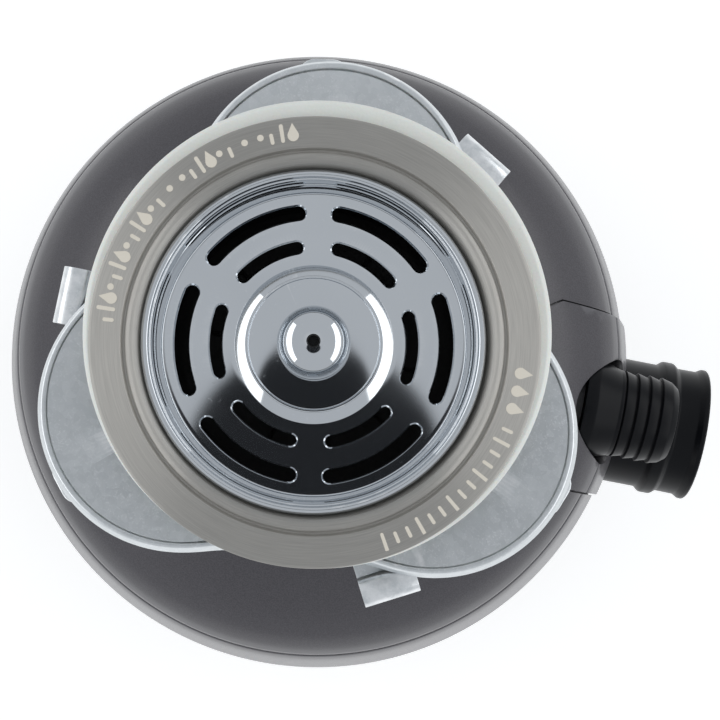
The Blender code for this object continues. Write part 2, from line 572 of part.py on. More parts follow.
def build_motor(mats, rotor):
    """Shaft, bearings, end bells, stator, windings, rotor core, fan and through bolts."""
    low, high = STATOR_Z
    shaft = solid_profile([(5.4, 40.0), (SHAFT_R, 41.0), (SHAFT_R, 224.0), (5.0, 226.0)])
    turned("shaft", shaft, mats["steel"], INNER_STEPS, closed=False, parent=rotor)
    bell = [(13.3, 158.0), (20.0, 158.0), (22.0, 167.0), (76.5, 167.0), (76.5, 163.0), (77.6, 163.0),
            (77.6, 177.5), (24.0, 177.5), (18.0, 189.0), (11.0, 189.0), (11.0, 179.0), (8.0, 179.0),
            (8.0, 174.0), (13.3, 174.0)]
    upper = turned("upper_end_bell", bell, mats["cast"], INNER_STEPS)
    combine(upper, cutter("cut_upper_bolts", bolt_holes(160.0, 172.0)), "DIFFERENCE")
    turned("shaft_seal", ring_profile(SHAFT_R + GAP, 10.7, 179.3, 188.0), mats["rubber"])
    turned("upper_bearing", ring_profile(SHAFT_R + GAP, 13.0, 160.0, 173.7), mats["steel"])
    lower_bell = [(11.3, 46.0), (18.0, 46.0), (20.0, 49.0), (71.0, 49.0), (71.0, 54.0), (66.0, 54.0),
                  (20.0, 54.0), (18.0, 60.0), (11.3, 60.0)]
    lower = turned("lower_end_bell", lower_bell, mats["cast"], INNER_STEPS)
    combine(lower, cutter("cut_lower_bolts", bolt_holes(40.0, 60.0)), "DIFFERENCE")
    turned("lower_bearing", ring_profile(SHAFT_R + GAP, 11.0, 47.0, 58.0), mats["steel"])
    turned("stator_core", ring_profile(34.0, 62.0, low, high), mats["core"], INNER_STEPS)
    for name, bottom, top in (("winding_upper", high + GAP, high + 16.0),
                              ("winding_lower", low - 14.0, low - GAP)):
        coil = [(38.0, bottom), (55.0, bottom), (57.0, (bottom + top) / 2), (55.0, top), (38.0, top),
                (36.5, (bottom + top) / 2)]
        turned(name, coil, mats["copper"])
    turned("rotor_core", ring_profile(SHAFT_R + GAP, 33.4, low, high), mats["core"], parent=rotor)
    blade_ring = ring_profile(SHAFT_R + GAP, 13.0, high + GAP, high + 12.0)
    fan = turned("rotor_fan", blade_ring, mats["cast"], INNER_STEPS, parent=rotor)
    blades = []
    for index in range(8):
        blade = prism_bmesh([(11.0, -1.0), (33.0, -1.0), (33.0, 1.0), (11.0, 1.0)], high + 1.0, high + 11.0)
        blades.append(about_z(blade, 45.0 * index))
    combine(fan, cutter("add_fan_blades", join_bmeshes(blades)), "UNION")
    bolt = solid_profile([(4.0, 45.0), (4.0, 48.6), (2.2, 48.6), (2.2, 171.0)])
    for number in range(4):
        turned(f"through_bolt_{number + 1}", bolt, mats["zinc"], 12, closed=False,
               place=(*polar(BOLT_R, 45 + 90 * number), 0))


def build_insulation(mats):
    """Sound-deadening foam round the chamber, open at the spigots."""
    wrap = turned("insulation", ring_profile(79.6, 85.0, 181.0, 232.0), mats["foam"], INNER_STEPS)
    bay = prism_bmesh([(0, -38), (120, -38), (120, 38), (0, 38)], 150, 260)
    combine(wrap, cutter("cut_insulation", bay), "DIFFERENCE")


# ---------------------------------------------------------------- spigots

def build_discharge(mats):
    """Discharge tube with flange, bead and lip; its gasket, clamp plate and clamp screws."""
    low = 80.9
    outline = [(OUTLET_BORE_R, low), (23.0, low), (23.0, low + 3.0), (OUTLET_R, low + 3.6),
               (OUTLET_R, 107.8), (21.3, 109.6), (21.6, 111.0), (21.3, 112.4), (OUTLET_R, 114.2),
               (OUTLET_R, 120.6), (21.2, 122.6), (21.2, 123.3), (20.8, OUTLET_END_X),
               (OUTLET_BORE_R, OUTLET_END_X)]
    turned("discharge_tube", outline, mats["black"], 32, place=(0, 0, OUTLET_Z), turn=LIE_DOWN)
    turned("discharge_gasket", ring_profile(OUTLET_BORE_R, 23.0, 78.3, 80.6), mats["rubber"],
           place=(0, 0, OUTLET_Z), turn=LIE_DOWN)
    clamp_low = low + 3.6 + GAP
    clamp_high = clamp_low + 2.0
    outline = round_box(-22.0, 22.0, -31.0, 31.0, 8.0, 2)
    bm = prism_bmesh(outline, clamp_low, clamp_high)
    bmesh.ops.transform(bm, matrix=LIE_DOWN, verts=bm.verts)
    clamp = make_object("discharge_clamp", bm, mats["zinc"], (0, 0, OUTLET_Z))
    holes = [cylinder_bmesh(OUTLET_R + 0.8, 70, 100, INNER_STEPS, "X", (0, 0, OUTLET_Z))]
    holes += [cylinder_bmesh(2.4, 70, 100, SMALL_STEPS, "X", (0, side * CLAMP_SCREW_Y, OUTLET_Z))
              for side in (1, -1)]
    combine(clamp, cutter("cut_clamp", join_bmeshes(holes)), "DIFFERENCE")
    screw = solid_profile([(2.0, 78.4), (2.0, clamp_high + GAP), (4.2, clamp_high + GAP),
                           (3.6, clamp_high + 2.4)])
    for number, side in ((1, 1), (2, -1)):
        turned(f"clamp_screw_{number}", screw, mats["zinc"], SMALL_STEPS, closed=False,
               place=(0, side * CLAMP_SCREW_Y, OUTLET_Z), turn=LIE_DOWN)


def build_inlet(mats):
    """Dishwasher spigot: a barbed hose tail on a flange."""
    outline = [(INLET_BORE_R, 78.9), (15.2, 78.9), (15.2, 83.0), (14.4, 86.0), (13.0, 88.6), (12.9, 90.3)]
    for barb in (91.0, 94.6, 98.2, 101.8):
        outline += [(11.9, barb - 0.3), (12.9, barb + 0.1), (12.2, barb + 2.8)]
    outline += [(11.9, 105.4), (10.8, INLET_END_X), (INLET_BORE_R, INLET_END_X)]
    turned("dishwasher_inlet", outline, mats["black"], INNER_STEPS, place=(0, 0, INLET_Z), turn=LIE_DOWN)


def main():
    """Build every piece."""
    clear_scene()
    mats = make_materials()
    rotor = bpy.data.objects.new("rotor_axis", None)
    bpy.context.collection.objects.link(rotor)
    build_sink_flange(mats)
    build_gaskets(mats)
    build_mounting_ring(mats)
    build_mount_screws(mats)
    build_lock_ring(mats)
    build_splash_baffle(mats)
    build_strainer(mats)
    build_shells(mats)
    build_outlet_cover(mats)
    build_bottom(mats)
    build_reset(mats)
    build_chamber(mats)
    build_shredder(mats)
    build_turntable(mats, rotor)
    build_motor(mats, rotor)
    build_insulation(mats)
    build_discharge(mats)
    build_inlet(mats)


main()
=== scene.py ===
"""Looks of a kitchen garbage disposal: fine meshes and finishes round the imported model.

Lengths in the classes below are millimetres; a finished mesh is scaled to metres. Heights are
given as a depth under the sink flange's top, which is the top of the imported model.
"""
from __future__ import annotations

import json
import logging
import math
from dataclasses import dataclass, field
from enum import Enum
from typing import Callable, Iterable, Sequence

import bmesh
import bpy
from mathutils import Matrix, Vector

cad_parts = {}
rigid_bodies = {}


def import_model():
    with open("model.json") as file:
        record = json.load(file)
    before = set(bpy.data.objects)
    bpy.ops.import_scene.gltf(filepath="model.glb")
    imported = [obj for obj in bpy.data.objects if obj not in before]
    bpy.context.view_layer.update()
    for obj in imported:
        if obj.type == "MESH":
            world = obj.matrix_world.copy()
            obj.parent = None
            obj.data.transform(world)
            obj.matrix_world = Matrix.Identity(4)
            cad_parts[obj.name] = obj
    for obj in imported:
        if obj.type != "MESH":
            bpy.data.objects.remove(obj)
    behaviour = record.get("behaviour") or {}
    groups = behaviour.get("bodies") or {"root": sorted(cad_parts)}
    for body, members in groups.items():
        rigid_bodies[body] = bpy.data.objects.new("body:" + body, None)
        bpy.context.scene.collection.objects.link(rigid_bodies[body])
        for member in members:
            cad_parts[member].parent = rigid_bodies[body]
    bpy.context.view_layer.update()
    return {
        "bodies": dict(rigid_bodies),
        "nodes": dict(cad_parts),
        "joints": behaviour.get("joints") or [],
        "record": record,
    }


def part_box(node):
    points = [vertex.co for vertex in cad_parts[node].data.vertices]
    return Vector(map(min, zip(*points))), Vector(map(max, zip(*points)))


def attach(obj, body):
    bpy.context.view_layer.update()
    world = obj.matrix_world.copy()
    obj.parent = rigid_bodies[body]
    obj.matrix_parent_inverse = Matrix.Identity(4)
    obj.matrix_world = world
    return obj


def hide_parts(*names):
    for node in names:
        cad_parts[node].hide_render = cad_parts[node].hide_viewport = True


LOG = logging.getLogger("disposal")
MM = 0.001
ROUND_STEPS = 192
FINE_STEPS = 256
SMALL_STEPS = 64
VIEW_TURN = 10.9               # the viewing frame is turned this far from the model's axes, in degrees

Point = tuple[float, float]
Corner = tuple[float, float, float]
Place = tuple[float, float, float]


class Direction(Enum):
    """The way the axis of a turned piece points."""

    UP = "up"
    OUT = "out"
    BACK = "back"


class Cut(Enum):
    """What a Boolean does."""

    AWAY = "DIFFERENCE"
    JOIN = "UNION"
    KEEP = "INTERSECT"


# ---------------------------------------------------------------- outlines

def rounded(corners: Sequence[Corner], closed: bool = True, steps: int = 4) -> list[Point]:
    """Round the corners of an outline.

    Args:
        corners: (across, up, corner radius) of each corner.
        closed: whether the last corner joins the first.
        steps: pieces in each rounding.

    Returns:
        The outline's points, with each corner that has a radius replaced by an arc.
    """
    points: list[Point] = []
    count = len(corners)
    for index, (across, up, radius) in enumerate(corners):
        here = Vector((across, up))
        if radius <= 0 or (not closed and index in (0, count - 1)):
            points.append((across, up))
            continue
        to_last = Vector(corners[index - 1][:2]) - here
        to_next = Vector(corners[(index + 1) % count][:2]) - here
        half = to_last.angle(to_next) / 2
        reach = min(radius / math.tan(half), to_last.length * 0.49, to_next.length * 0.49)
        true_radius = reach * math.tan(half)
        start = here + to_last.normalized() * reach
        end = here + to_next.normalized() * reach
        inwards = (to_last.normalized() + to_next.normalized()).normalized()
        centre = here + inwards * true_radius / math.sin(half)
        first = start - centre
        turn = first.angle_signed(end - centre)
        for step in range(steps + 1):
            arm = first.copy()
            arm.rotate(Matrix.Rotation(-turn * step / steps, 2))
            points.append(tuple(centre + arm))
    return points


def flowing(points: Sequence[Point], steps: int = 5) -> list[Point]:
    """Draw a smooth curve through points, with steps pieces between each pair.

    Args:
        points: the points that the curve passes through.
        steps: pieces between each pair.

    Returns:
        The curve's points.
    """
    ends = [points[0], *points, points[-1]]
    curve: list[Point] = []
    for index in range(1, len(ends) - 2):
        a, b, c, d = (Vector(ends[index + shift]) for shift in (-1, 0, 1, 2))
        for step in range(steps):
            t = step / steps
            spot = 0.5 * (2 * b + (c - a) * t + (2 * a - 5 * b + 4 * c - d) * t ** 2
                          + (3 * b - a - 3 * c + d) * t ** 3)
            curve.append(tuple(spot))
    curve.append(tuple(points[-1]))
    return curve


def arc(centre: Point, radius: float, start: float, end: float, steps: int) -> list[Point]:
    """Give the points of an arc from start to end degrees.

    Args:
        centre: the middle of the circle.
        radius: its radius.
        start: first angle in degrees.
        end: last angle in degrees.
        steps: pieces in the arc.

    Returns:
        The arc's points.
    """
    angles = [math.radians(start + (end - start) * step / steps) for step in range(steps + 1)]
    return [(centre[0] + radius * math.cos(a), centre[1] + radius * math.sin(a)) for a in angles]


def shrunk(points: Sequence[Point], distance: float) -> list[Point]:
    """Move a shell's outer line inwards and down, square to itself.

    Args:
        points: the outer line.
        distance: how far it moves.

    Returns:
        The inner line.
    """
    moved = []
    for index, point in enumerate(points):
        before = Vector(points[max(index - 1, 0)])
        after = Vector(points[min(index + 1, len(points) - 1)])
        along = (after - before).normalized()
        moved.append((point[0] - abs(along.y) * distance, point[1] - abs(along.x) * distance))
    return moved


def strip(points: Sequence[Point], thickness: float) -> list[Point]:
    """Give the outline of a bent sheet that follows points.

    Args:
        points: the middle line of the sheet.
        thickness: the sheet's thickness.

    Returns:
        The closed outline.
    """
    left, right = [], []
    for index, point in enumerate(points):
        before = Vector(points[max(index - 1, 0)])
        after = Vector(points[min(index + 1, len(points) - 1)])
        along = (after - before).normalized()
        side = Vector((-along.y, along.x)) * thickness / 2
        left.append(tuple(Vector(point) + side))
        right.append(tuple(Vector(point) - side))
    return left + right[::-1]


def box_outline(low: Point, high: Point, radius: float) -> list[Point]:
    """Give a rectangle with rounded corners."""
    return rounded([(low[0], low[1], radius), (high[0], low[1], radius), (high[0], high[1], radius),
                    (low[0], high[1], radius)], steps=6)


def polar(radius: float, degrees: float) -> Point:
    """Give the point at a radius and an angle."""
    return radius * math.cos(math.radians(degrees)), radius * math.sin(math.radians(degrees))


# ---------------------------------------------------------------- meshes

def turned(outline: Sequence[Point], steps: int = ROUND_STEPS, closed: bool = True,
           direction: Direction = Direction.UP, centre: Place = (0, 0, 0)) -> bmesh.types.BMesh:
    """Spin an outline of (radius, height) about its axis.

    Args:
        outline: the section; a closed one makes a ring, an open one starts and ends on the axis.
        steps: pieces round the turn.
        closed: whether the outline closes on itself.
        direction: where the axis points.
        centre: where the axis starts.

    Returns:
        The turned body.
    """
    bm = bmesh.new()
    verts = [bm.verts.new((radius, 0.0, height)) for radius, height in outline]
    edges = [bm.edges.new(pair) for pair in zip(verts, verts[1:])]
    if closed:
        edges.append(bm.edges.new((verts[-1], verts[0])))
    bmesh.ops.spin(bm, geom=verts + edges, cent=(0, 0, 0), axis=(0, 0, 1), angle=math.tau, steps=steps,
                   use_merge=True)
    bmesh.ops.remove_doubles(bm, verts=bm.verts, dist=1e-4)
    if direction is not Direction.UP:
        lie = math.pi / 2 if direction is Direction.OUT else -math.pi / 2
        bmesh.ops.rotate(bm, matrix=Matrix.Rotation(lie, 3, "Y"), verts=bm.verts)
    bmesh.ops.translate(bm, vec=centre, verts=bm.verts)
    bmesh.ops.recalc_face_normals(bm, faces=bm.faces)
    return bm


def slab(outline: Sequence[Point], low: float, high: float) -> bmesh.types.BMesh:
    """Extrude a flat outline from low to high.

    Args:
        outline: the flat outline.
        low: lower height.
        high: upper height.

    Returns:
        The extruded body.
    """
    bm = bmesh.new()
    face = bm.faces.new([bm.verts.new((x, y, low)) for x, y in outline])
    grown = bmesh.ops.extrude_face_region(bm, geom=[face])
    top = [item for item in grown["geom"] if isinstance(item, bmesh.types.BMVert)]
    bmesh.ops.translate(bm, vec=(0, 0, high - low), verts=top)
    bmesh.ops.recalc_face_normals(bm, faces=bm.faces)
    return bm


def stacked(layers: Sequence[tuple[Sequence[Point], float]]) -> bmesh.types.BMesh:
    """Bridge flat outlines at rising heights into one closed body.

    Args:
        layers: each outline and its height, from the lowest up.

    Returns:
        The bridged body.
    """
    bm = bmesh.new()
    loops = []
    for outline, height in layers:
        verts = [bm.verts.new((x, y, height)) for x, y in outline]
        edges = [bm.edges.new((verts[index - 1], verts[index])) for index in range(len(verts))]
        loops.append((verts, edges))
    for (_, below), (_, above) in zip(loops, loops[1:]):
        bmesh.ops.bridge_loops(bm, edges=below + above)
    bm.faces.new(loops[0][0])
    bm.faces.new(loops[-1][0])
    bmesh.ops.recalc_face_normals(bm, faces=bm.faces)
    return bm


def drill(radius: float, low: float, high: float, direction: Direction = Direction.UP,
          centre: Place = (0, 0, 0), steps: int = SMALL_STEPS) -> bmesh.types.BMesh:
    """Make a plain cylinder for cutting holes.

    Args:
        radius: the hole's radius.
        low: where it starts along its axis.
        high: where it ends.
        direction: where the axis points.
        centre: where the axis starts.
        steps: pieces round the turn.

    Returns:
        The cutting body.
    """
    outline = [(0, low), (radius, low), (radius, high), (0, high)]
    return turned(outline, steps, False, direction, centre)


def gathered(parts: Iterable[bmesh.types.BMesh]) -> bmesh.types.BMesh:
    """Put several bodies that don't touch in one bmesh.

    Args:
        parts: the bodies, which are freed.

    Returns:
        One bmesh that holds them all.
    """
    whole = bmesh.new()
    for part in parts:
        mesh = bpy.data.meshes.new("part")
        part.to_mesh(mesh)
        part.free()
        whole.from_mesh(mesh)
        bpy.data.meshes.remove(mesh)
    return whole


def carved(bm: bmesh.types.BMesh, tool: bmesh.types.BMesh, cut: Cut) -> bmesh.types.BMesh:
    """Apply one exact Boolean.

    Args:
        bm: the body that is kept.
        tool: the body that cuts it or joins it.
        cut: what is done.

    Returns:
        The new body; both inputs are freed.
    """
    objects = []
    for part in (bm, tool):
        mesh = bpy.data.meshes.new("carve")
        part.to_mesh(mesh)
        part.free()
        obj = bpy.data.objects.new("carve", mesh)
        bpy.context.collection.objects.link(obj)
        objects.append(obj)
    modifier = objects[0].modifiers.new("carve", "BOOLEAN")
    modifier.operation = cut.value
    modifier.solver = "EXACT"
    modifier.object = objects[1]
    bpy.context.view_layer.update()
    shaped = objects[0].evaluated_get(bpy.context.evaluated_depsgraph_get())
    result = bmesh.new()
    result.from_mesh(shaped.to_mesh())
    shaped.to_mesh_clear()
    for obj in objects:
        mesh = obj.data
        bpy.data.objects.remove(obj, do_unlink=True)
        bpy.data.meshes.remove(mesh)
    bmesh.ops.remove_doubles(result, verts=result.verts, dist=1e-3)
    return result


def softened(bm: bmesh.types.BMesh, width: float, degrees: float = 50.0,
             segments: int = 2) -> bmesh.types.BMesh:
    """Bevel every edge sharper than an angle.

    Args:
        bm: the body.
        width: size of the bevel.
        degrees: edges that turn less than this stay.
        segments: pieces across the bevel.

    Returns:
        The same body.
    """
    sharp = [edge for edge in bm.edges
             if len(edge.link_faces) == 2 and edge.calc_face_angle(0.0) > math.radians(degrees)]
    bmesh.ops.bevel(bm, geom=sharp, offset=width, offset_type="OFFSET", affect="EDGES", segments=segments,
                    profile=0.5, material=-1, clamp_overlap=True)
    return bm


def standing(outline: Sequence[Point], width: float, degrees: float) -> bmesh.types.BMesh:
    """Make a bent tab: a (radius, height) section of some width, turned to an angle about Z.

    Args:
        outline: the section, as (radius, height).
        width: the tab's width.
        degrees: its angle about Z.

    Returns:
        The tab.
    """
    bm = slab(outline, -width / 2, width / 2)
    stand = Matrix(((1, 0, 0), (0, 0, -1), (0, 1, 0)))
    bmesh.ops.rotate(bm, matrix=stand, verts=bm.verts)
    return spun(bm, degrees)


def spun(bm: bmesh.types.BMesh, degrees: float) -> bmesh.types.BMesh:
    """Turn a body about Z."""
    bmesh.ops.rotate(bm, matrix=Matrix.Rotation(math.radians(degrees), 3, "Z"), verts=bm.verts)
    return bm


# ---------------------------------------------------------------- finishes

class Grain(Enum):
    """Surface effects that several finishes share, each one node group."""

    FLECK = "fine fleck"
    BRUSHED = "circular brushing"
    SPANGLE = "zinc spangle"
    DUST = "settled dust"
    EDGE = "worn edge"


class GroupMaker:
    """Builds each shared effect once, as a shader node group with named sockets."""

    def __init__(self) -> None:
        """Start with no group."""
        self.made: dict[Grain, bpy.types.NodeTree] = {}

    def get(self, grain: Grain) -> bpy.types.NodeTree:
        """Give the group of an effect, and build it at its first use.

        Args:
            grain: the effect.

        Returns:
            Its node group.
        """
        if grain not in self.made:
            tree = bpy.data.node_groups.new(grain.value, "ShaderNodeTree")
            makers: dict[Grain, Callable[[bpy.types.NodeTree], None]] = {
                Grain.FLECK: self.fleck, Grain.BRUSHED: self.brushed, Grain.SPANGLE: self.spangle,
                Grain.DUST: self.dust, Grain.EDGE: self.edge}
            makers[grain](tree)
            self.made[grain] = tree
        return self.made[grain]

    @staticmethod
    def sockets(tree: bpy.types.NodeTree, inputs: dict[str, float]) -> tuple[bpy.types.Node, bpy.types.Node]:
        """Give a group its float inputs and its Mask output.

        Args:
            tree: the group.
            inputs: name and default of each input.

        Returns:
            The group's input node and output node.
        """
        for name, value in inputs.items():
            socket = tree.interface.new_socket(name, in_out="INPUT", socket_type="NodeSocketFloat")
            socket.default_value = value
        tree.interface.new_socket("Mask", in_out="OUTPUT", socket_type="NodeSocketFloat")
        return tree.nodes.new("NodeGroupInput"), tree.nodes.new("NodeGroupOutput")

    @staticmethod
    def math(tree: bpy.types.NodeTree, operation: str, *values: object) -> bpy.types.NodeSocket:
        """Add a Math node; each value is a number or a socket.

        Args:
            tree: the node tree.
            operation: the node's operation.
            values: what it works on.

        Returns:
            The result.
        """
        node = tree.nodes.new("ShaderNodeMath")
        node.operation = operation
        for index, value in enumerate(values):
            if isinstance(value, bpy.types.NodeSocket):
                tree.links.new(value, node.inputs[index])
            else:
                node.inputs[index].default_value = value
        return node.outputs[0]

    @staticmethod
    def range(tree: bpy.types.NodeTree, value: bpy.types.NodeSocket, low: float,
              high: float) -> bpy.types.NodeSocket:
        """Stretch a value from low and high to 0 and 1, clamped.

        Args:
            tree: the node tree.
            value: what is stretched.
            low: the value that becomes 0.
            high: the value that becomes 1.

        Returns:
            The stretched value.
        """
        node = tree.nodes.new("ShaderNodeMapRange")
        tree.links.new(value, node.inputs["Value"])
        node.inputs["From Min"].default_value = low
        node.inputs["From Max"].default_value = high
        return node.outputs["Result"]

    def noise(self, tree: bpy.types.NodeTree, vector: bpy.types.NodeSocket, scale: object,
              detail: float = 2.0) -> bpy.types.NodeSocket:
        """Add a Noise texture and give its value.

        Args:
            tree: the node tree.
            vector: where the pattern is read.
            scale: its fineness.
            detail: its octaves.

        Returns:
            The texture's value.
        """
        node = tree.nodes.new("ShaderNodeTexNoise")
        tree.links.new(vector, node.inputs["Vector"])
        if isinstance(scale, bpy.types.NodeSocket):
            tree.links.new(scale, node.inputs["Scale"])
        else:
            node.inputs["Scale"].default_value = scale
        node.inputs["Detail"].default_value = detail
        return node.outputs["Fac"]

    @staticmethod
    def place(tree: bpy.types.NodeTree) -> bpy.types.NodeSocket:
        """Give the Object coordinates."""
        return tree.nodes.new("ShaderNodeTexCoord").outputs["Object"]

    def fleck(self, tree: bpy.types.NodeTree) -> None:
        """Fine metallic grain: small random spots.

        Args:
            tree: the group that is filled.
        """
        start, end = self.sockets(tree, {"Scale": 3000.0})
        fine = self.noise(tree, self.place(tree), start.outputs["Scale"], 1.0)
        tree.links.new(self.range(tree, fine, 0.35, 0.68), end.inputs["Mask"])

    def brushed(self, tree: bpy.types.NodeTree) -> None:
        """Fine lines that run round the Z axis.

        Args:
            tree: the group that is filled.
        """
        start, end = self.sockets(tree, {"Lines": 3500.0, "Length": 6.0})
        parts = tree.nodes.new("ShaderNodeSeparateXYZ")
        tree.links.new(self.place(tree), parts.inputs[0])
        across, along, up = parts.outputs
        squares = self.math(tree, "ADD", self.math(tree, "MULTIPLY", across, across),
                            self.math(tree, "MULTIPLY", along, along))
        radius = self.math(tree, "SQRT", squares)
        safe = self.math(tree, "MAXIMUM", radius, 0.0005)
        join = tree.nodes.new("ShaderNodeCombineXYZ")
        outwards = self.math(tree, "ADD", radius, up)
        tree.links.new(self.math(tree, "MULTIPLY", outwards, start.outputs["Lines"]), join.inputs[0])
        for index, part in ((1, across), (2, along)):
            unit = self.math(tree, "DIVIDE", part, safe)
            tree.links.new(self.math(tree, "MULTIPLY", unit, start.outputs["Length"]), join.inputs[index])
        tree.links.new(self.noise(tree, join.outputs[0], 1.0, 3.0), end.inputs["Mask"])

    def spangle(self, tree: bpy.types.NodeTree) -> None:
        """Crystal patches of zinc with small bright specks.

        Args:
            tree: the group that is filled.
        """
        start, end = self.sockets(tree, {"Scale": 420.0, "Specks": 2200.0})
        cells = tree.nodes.new("ShaderNodeTexVoronoi")
        tree.links.new(self.place(tree), cells.inputs["Vector"])
        tree.links.new(start.outputs["Scale"], cells.inputs["Scale"])
        tone = tree.nodes.new("ShaderNodeSeparateColor")
        tree.links.new(cells.outputs["Color"], tone.inputs[0])
        specks = self.noise(tree, self.place(tree), start.outputs["Specks"], 1.0)
        bright = self.range(tree, specks, 0.56, 0.72)
        patches = self.math(tree, "MULTIPLY", tone.outputs[0], 0.45)
        clouds = self.range(tree, self.noise(tree, self.place(tree), 60.0, 3.0), 0.3, 0.7)
        mixed = self.math(tree, "ADD", patches, self.math(tree, "MULTIPLY", bright, clouds))
        tree.links.new(self.range(tree, mixed, 0.0, 1.2), end.inputs["Mask"])

    def dust(self, tree: bpy.types.NodeTree) -> None:
        """Soft uneven patches with a few specks.

        Args:
            tree: the group that is filled.
        """
        start, end = self.sockets(tree, {"Scale": 25.0})
        soft = self.range(tree, self.noise(tree, self.place(tree), start.outputs["Scale"], 5.0), 0.35, 0.75)
        specks = self.range(tree, self.noise(tree, self.place(tree), 900.0, 0.0), 0.76, 0.8)
        tree.links.new(self.math(tree, "MAXIMUM", soft, specks), end.inputs["Mask"])

    def edge(self, tree: bpy.types.NodeTree) -> None:
        """Outer edges, broken up by noise: rubbed wear on the plastics, and a painted highlight along the
        chrome and zinc edges.

        Args:
            tree: the group that is filled.
        """
        start, end = self.sockets(tree, {"Low": 0.52, "High": 0.6})
        shape = tree.nodes.new("ShaderNodeNewGeometry")
        stretch = tree.nodes.new("ShaderNodeMapRange")
        tree.links.new(shape.outputs["Pointiness"], stretch.inputs["Value"])
        tree.links.new(start.outputs["Low"], stretch.inputs["From Min"])
        tree.links.new(start.outputs["High"], stretch.inputs["From Max"])
        rough = self.range(tree, self.noise(tree, self.place(tree), 300.0, 4.0), 0.35, 0.6)
        tree.links.new(self.math(tree, "MULTIPLY", stretch.outputs[0], rough), end.inputs["Mask"])


GROUPS = GroupMaker()
Colour = tuple[float, float, float]


@dataclass(frozen=True)
class Layer:
    """One effect of a finish, and what it does where its mask is 1."""

    grain: Grain
    inputs: dict[str, float] = field(default_factory=dict)
    colour: Colour | None = None
    strength: float = 1.0
    roughness: float = 0.0
    bump: float = 0.0


@dataclass(frozen=True)
class Finish:
    """A finish: the Principled shader's own values, and the layers that vary them."""

    name: str
    colour: Colour
    roughness: float
    metallic: float = 0.0
    layers: tuple[Layer, ...] = ()
    coat: float = 0.0
    coat_roughness: float = 0.1
    sheen: float = 0.0
    subsurface: float = 0.0
    anisotropic: float = 0.0
    specular: float = 0.5

    def build(self) -> bpy.types.Material:
        """Build the material: colour, roughness and bump each pass through the layers in order.

        Returns:
            The material.
        """
        material = bpy.data.materials.new(self.name)
        material.use_nodes = True
        tree = material.node_tree
        shader = tree.nodes["Principled BSDF"]
        values = {"Base Color": (*self.colour, 1.0), "Roughness": self.roughness, "Metallic": self.metallic,
                  "Coat Weight": self.coat, "Coat Roughness": self.coat_roughness,
                  "Sheen Weight": self.sheen, "Anisotropic": self.anisotropic,
                  "Subsurface Weight": self.subsurface, "Specular IOR Level": self.specular}
        for name, value in values.items():
            shader.inputs[name].default_value = value
        if self.anisotropic > 0:
            tangent = tree.nodes.new("ShaderNodeTangent")
            tangent.direction_type = "RADIAL"
            tangent.axis = "Z"
            tree.links.new(tangent.outputs[0], shader.inputs["Tangent"])
            shader.inputs["Anisotropic Rotation"].default_value = 0.25
        colour = roughness = normal = None
        for layer in self.layers:
            group = tree.nodes.new("ShaderNodeGroup")
            group.node_tree = GROUPS.get(layer.grain)
            for name, value in layer.inputs.items():
                group.inputs[name].default_value = value
            mask = group.outputs["Mask"]
            if layer.colour is not None:
                colour = self.mix(tree, colour, mask, layer)
            if layer.roughness != 0:
                roughness = self.add(tree, roughness, mask, layer.roughness)
            if layer.bump != 0:
                normal = self.dent(tree, normal, mask, layer.bump)
        for socket, name in ((colour, "Base Color"), (roughness, "Roughness"), (normal, "Normal")):
            if socket is not None:
                tree.links.new(socket, shader.inputs[name])
        return material

    def mix(self, tree: bpy.types.NodeTree, below: bpy.types.NodeSocket | None,
            mask: bpy.types.NodeSocket, layer: Layer) -> bpy.types.NodeSocket:
        """Mix a layer's colour over what is below it.

        Args:
            tree: the material's nodes.
            below: the colour so far, or None at the first layer.
            mask: where the layer shows.
            layer: the layer.

        Returns:
            The mixed colour.
        """
        node = tree.nodes.new("ShaderNodeMix")
        node.data_type = "RGBA"
        weight = GROUPS.math(tree, "MULTIPLY", mask, layer.strength)
        tree.links.new(weight, node.inputs["Factor"])
        inputs = [socket for socket in node.inputs if socket.type == "RGBA"]
        inputs[0].default_value = (*self.colour, 1.0)
        if below is not None:
            tree.links.new(below, inputs[0])
        inputs[1].default_value = (*layer.colour, 1.0)
        return next(socket for socket in node.outputs if socket.type == "RGBA")

    def add(self, tree: bpy.types.NodeTree, below: bpy.types.NodeSocket | None,
            mask: bpy.types.NodeSocket, amount: float) -> bpy.types.NodeSocket:
        """Add to the roughness where the mask is.

        Args:
            tree: the material's nodes.
            below: the roughness so far, or None at the first layer.
            mask: where it is added.
            amount: how much is added.

        Returns:
            The new roughness.
        """
        share = GROUPS.math(tree, "MULTIPLY", mask, amount)
        return GROUPS.math(tree, "ADD", share, below if below is not None else self.roughness)

    @staticmethod
    def dent(tree: bpy.types.NodeTree, below: bpy.types.NodeSocket | None,
             mask: bpy.types.NodeSocket, height: float) -> bpy.types.NodeSocket:
        """Add a bump whose height in millimetres follows the mask.

        Args:
            tree: the material's nodes.
            below: the normal so far, or None at the first layer.
            mask: the height, from 0 to 1.
            height: millimetres at a height of 1.

        Returns:
            The new normal.
        """
        node = tree.nodes.new("ShaderNodeBump")
        node.inputs["Distance"].default_value = height * MM
        tree.links.new(mask, node.inputs["Height"])
        if below is not None:
            tree.links.new(below, node.inputs["Normal"])
        return node.outputs["Normal"]


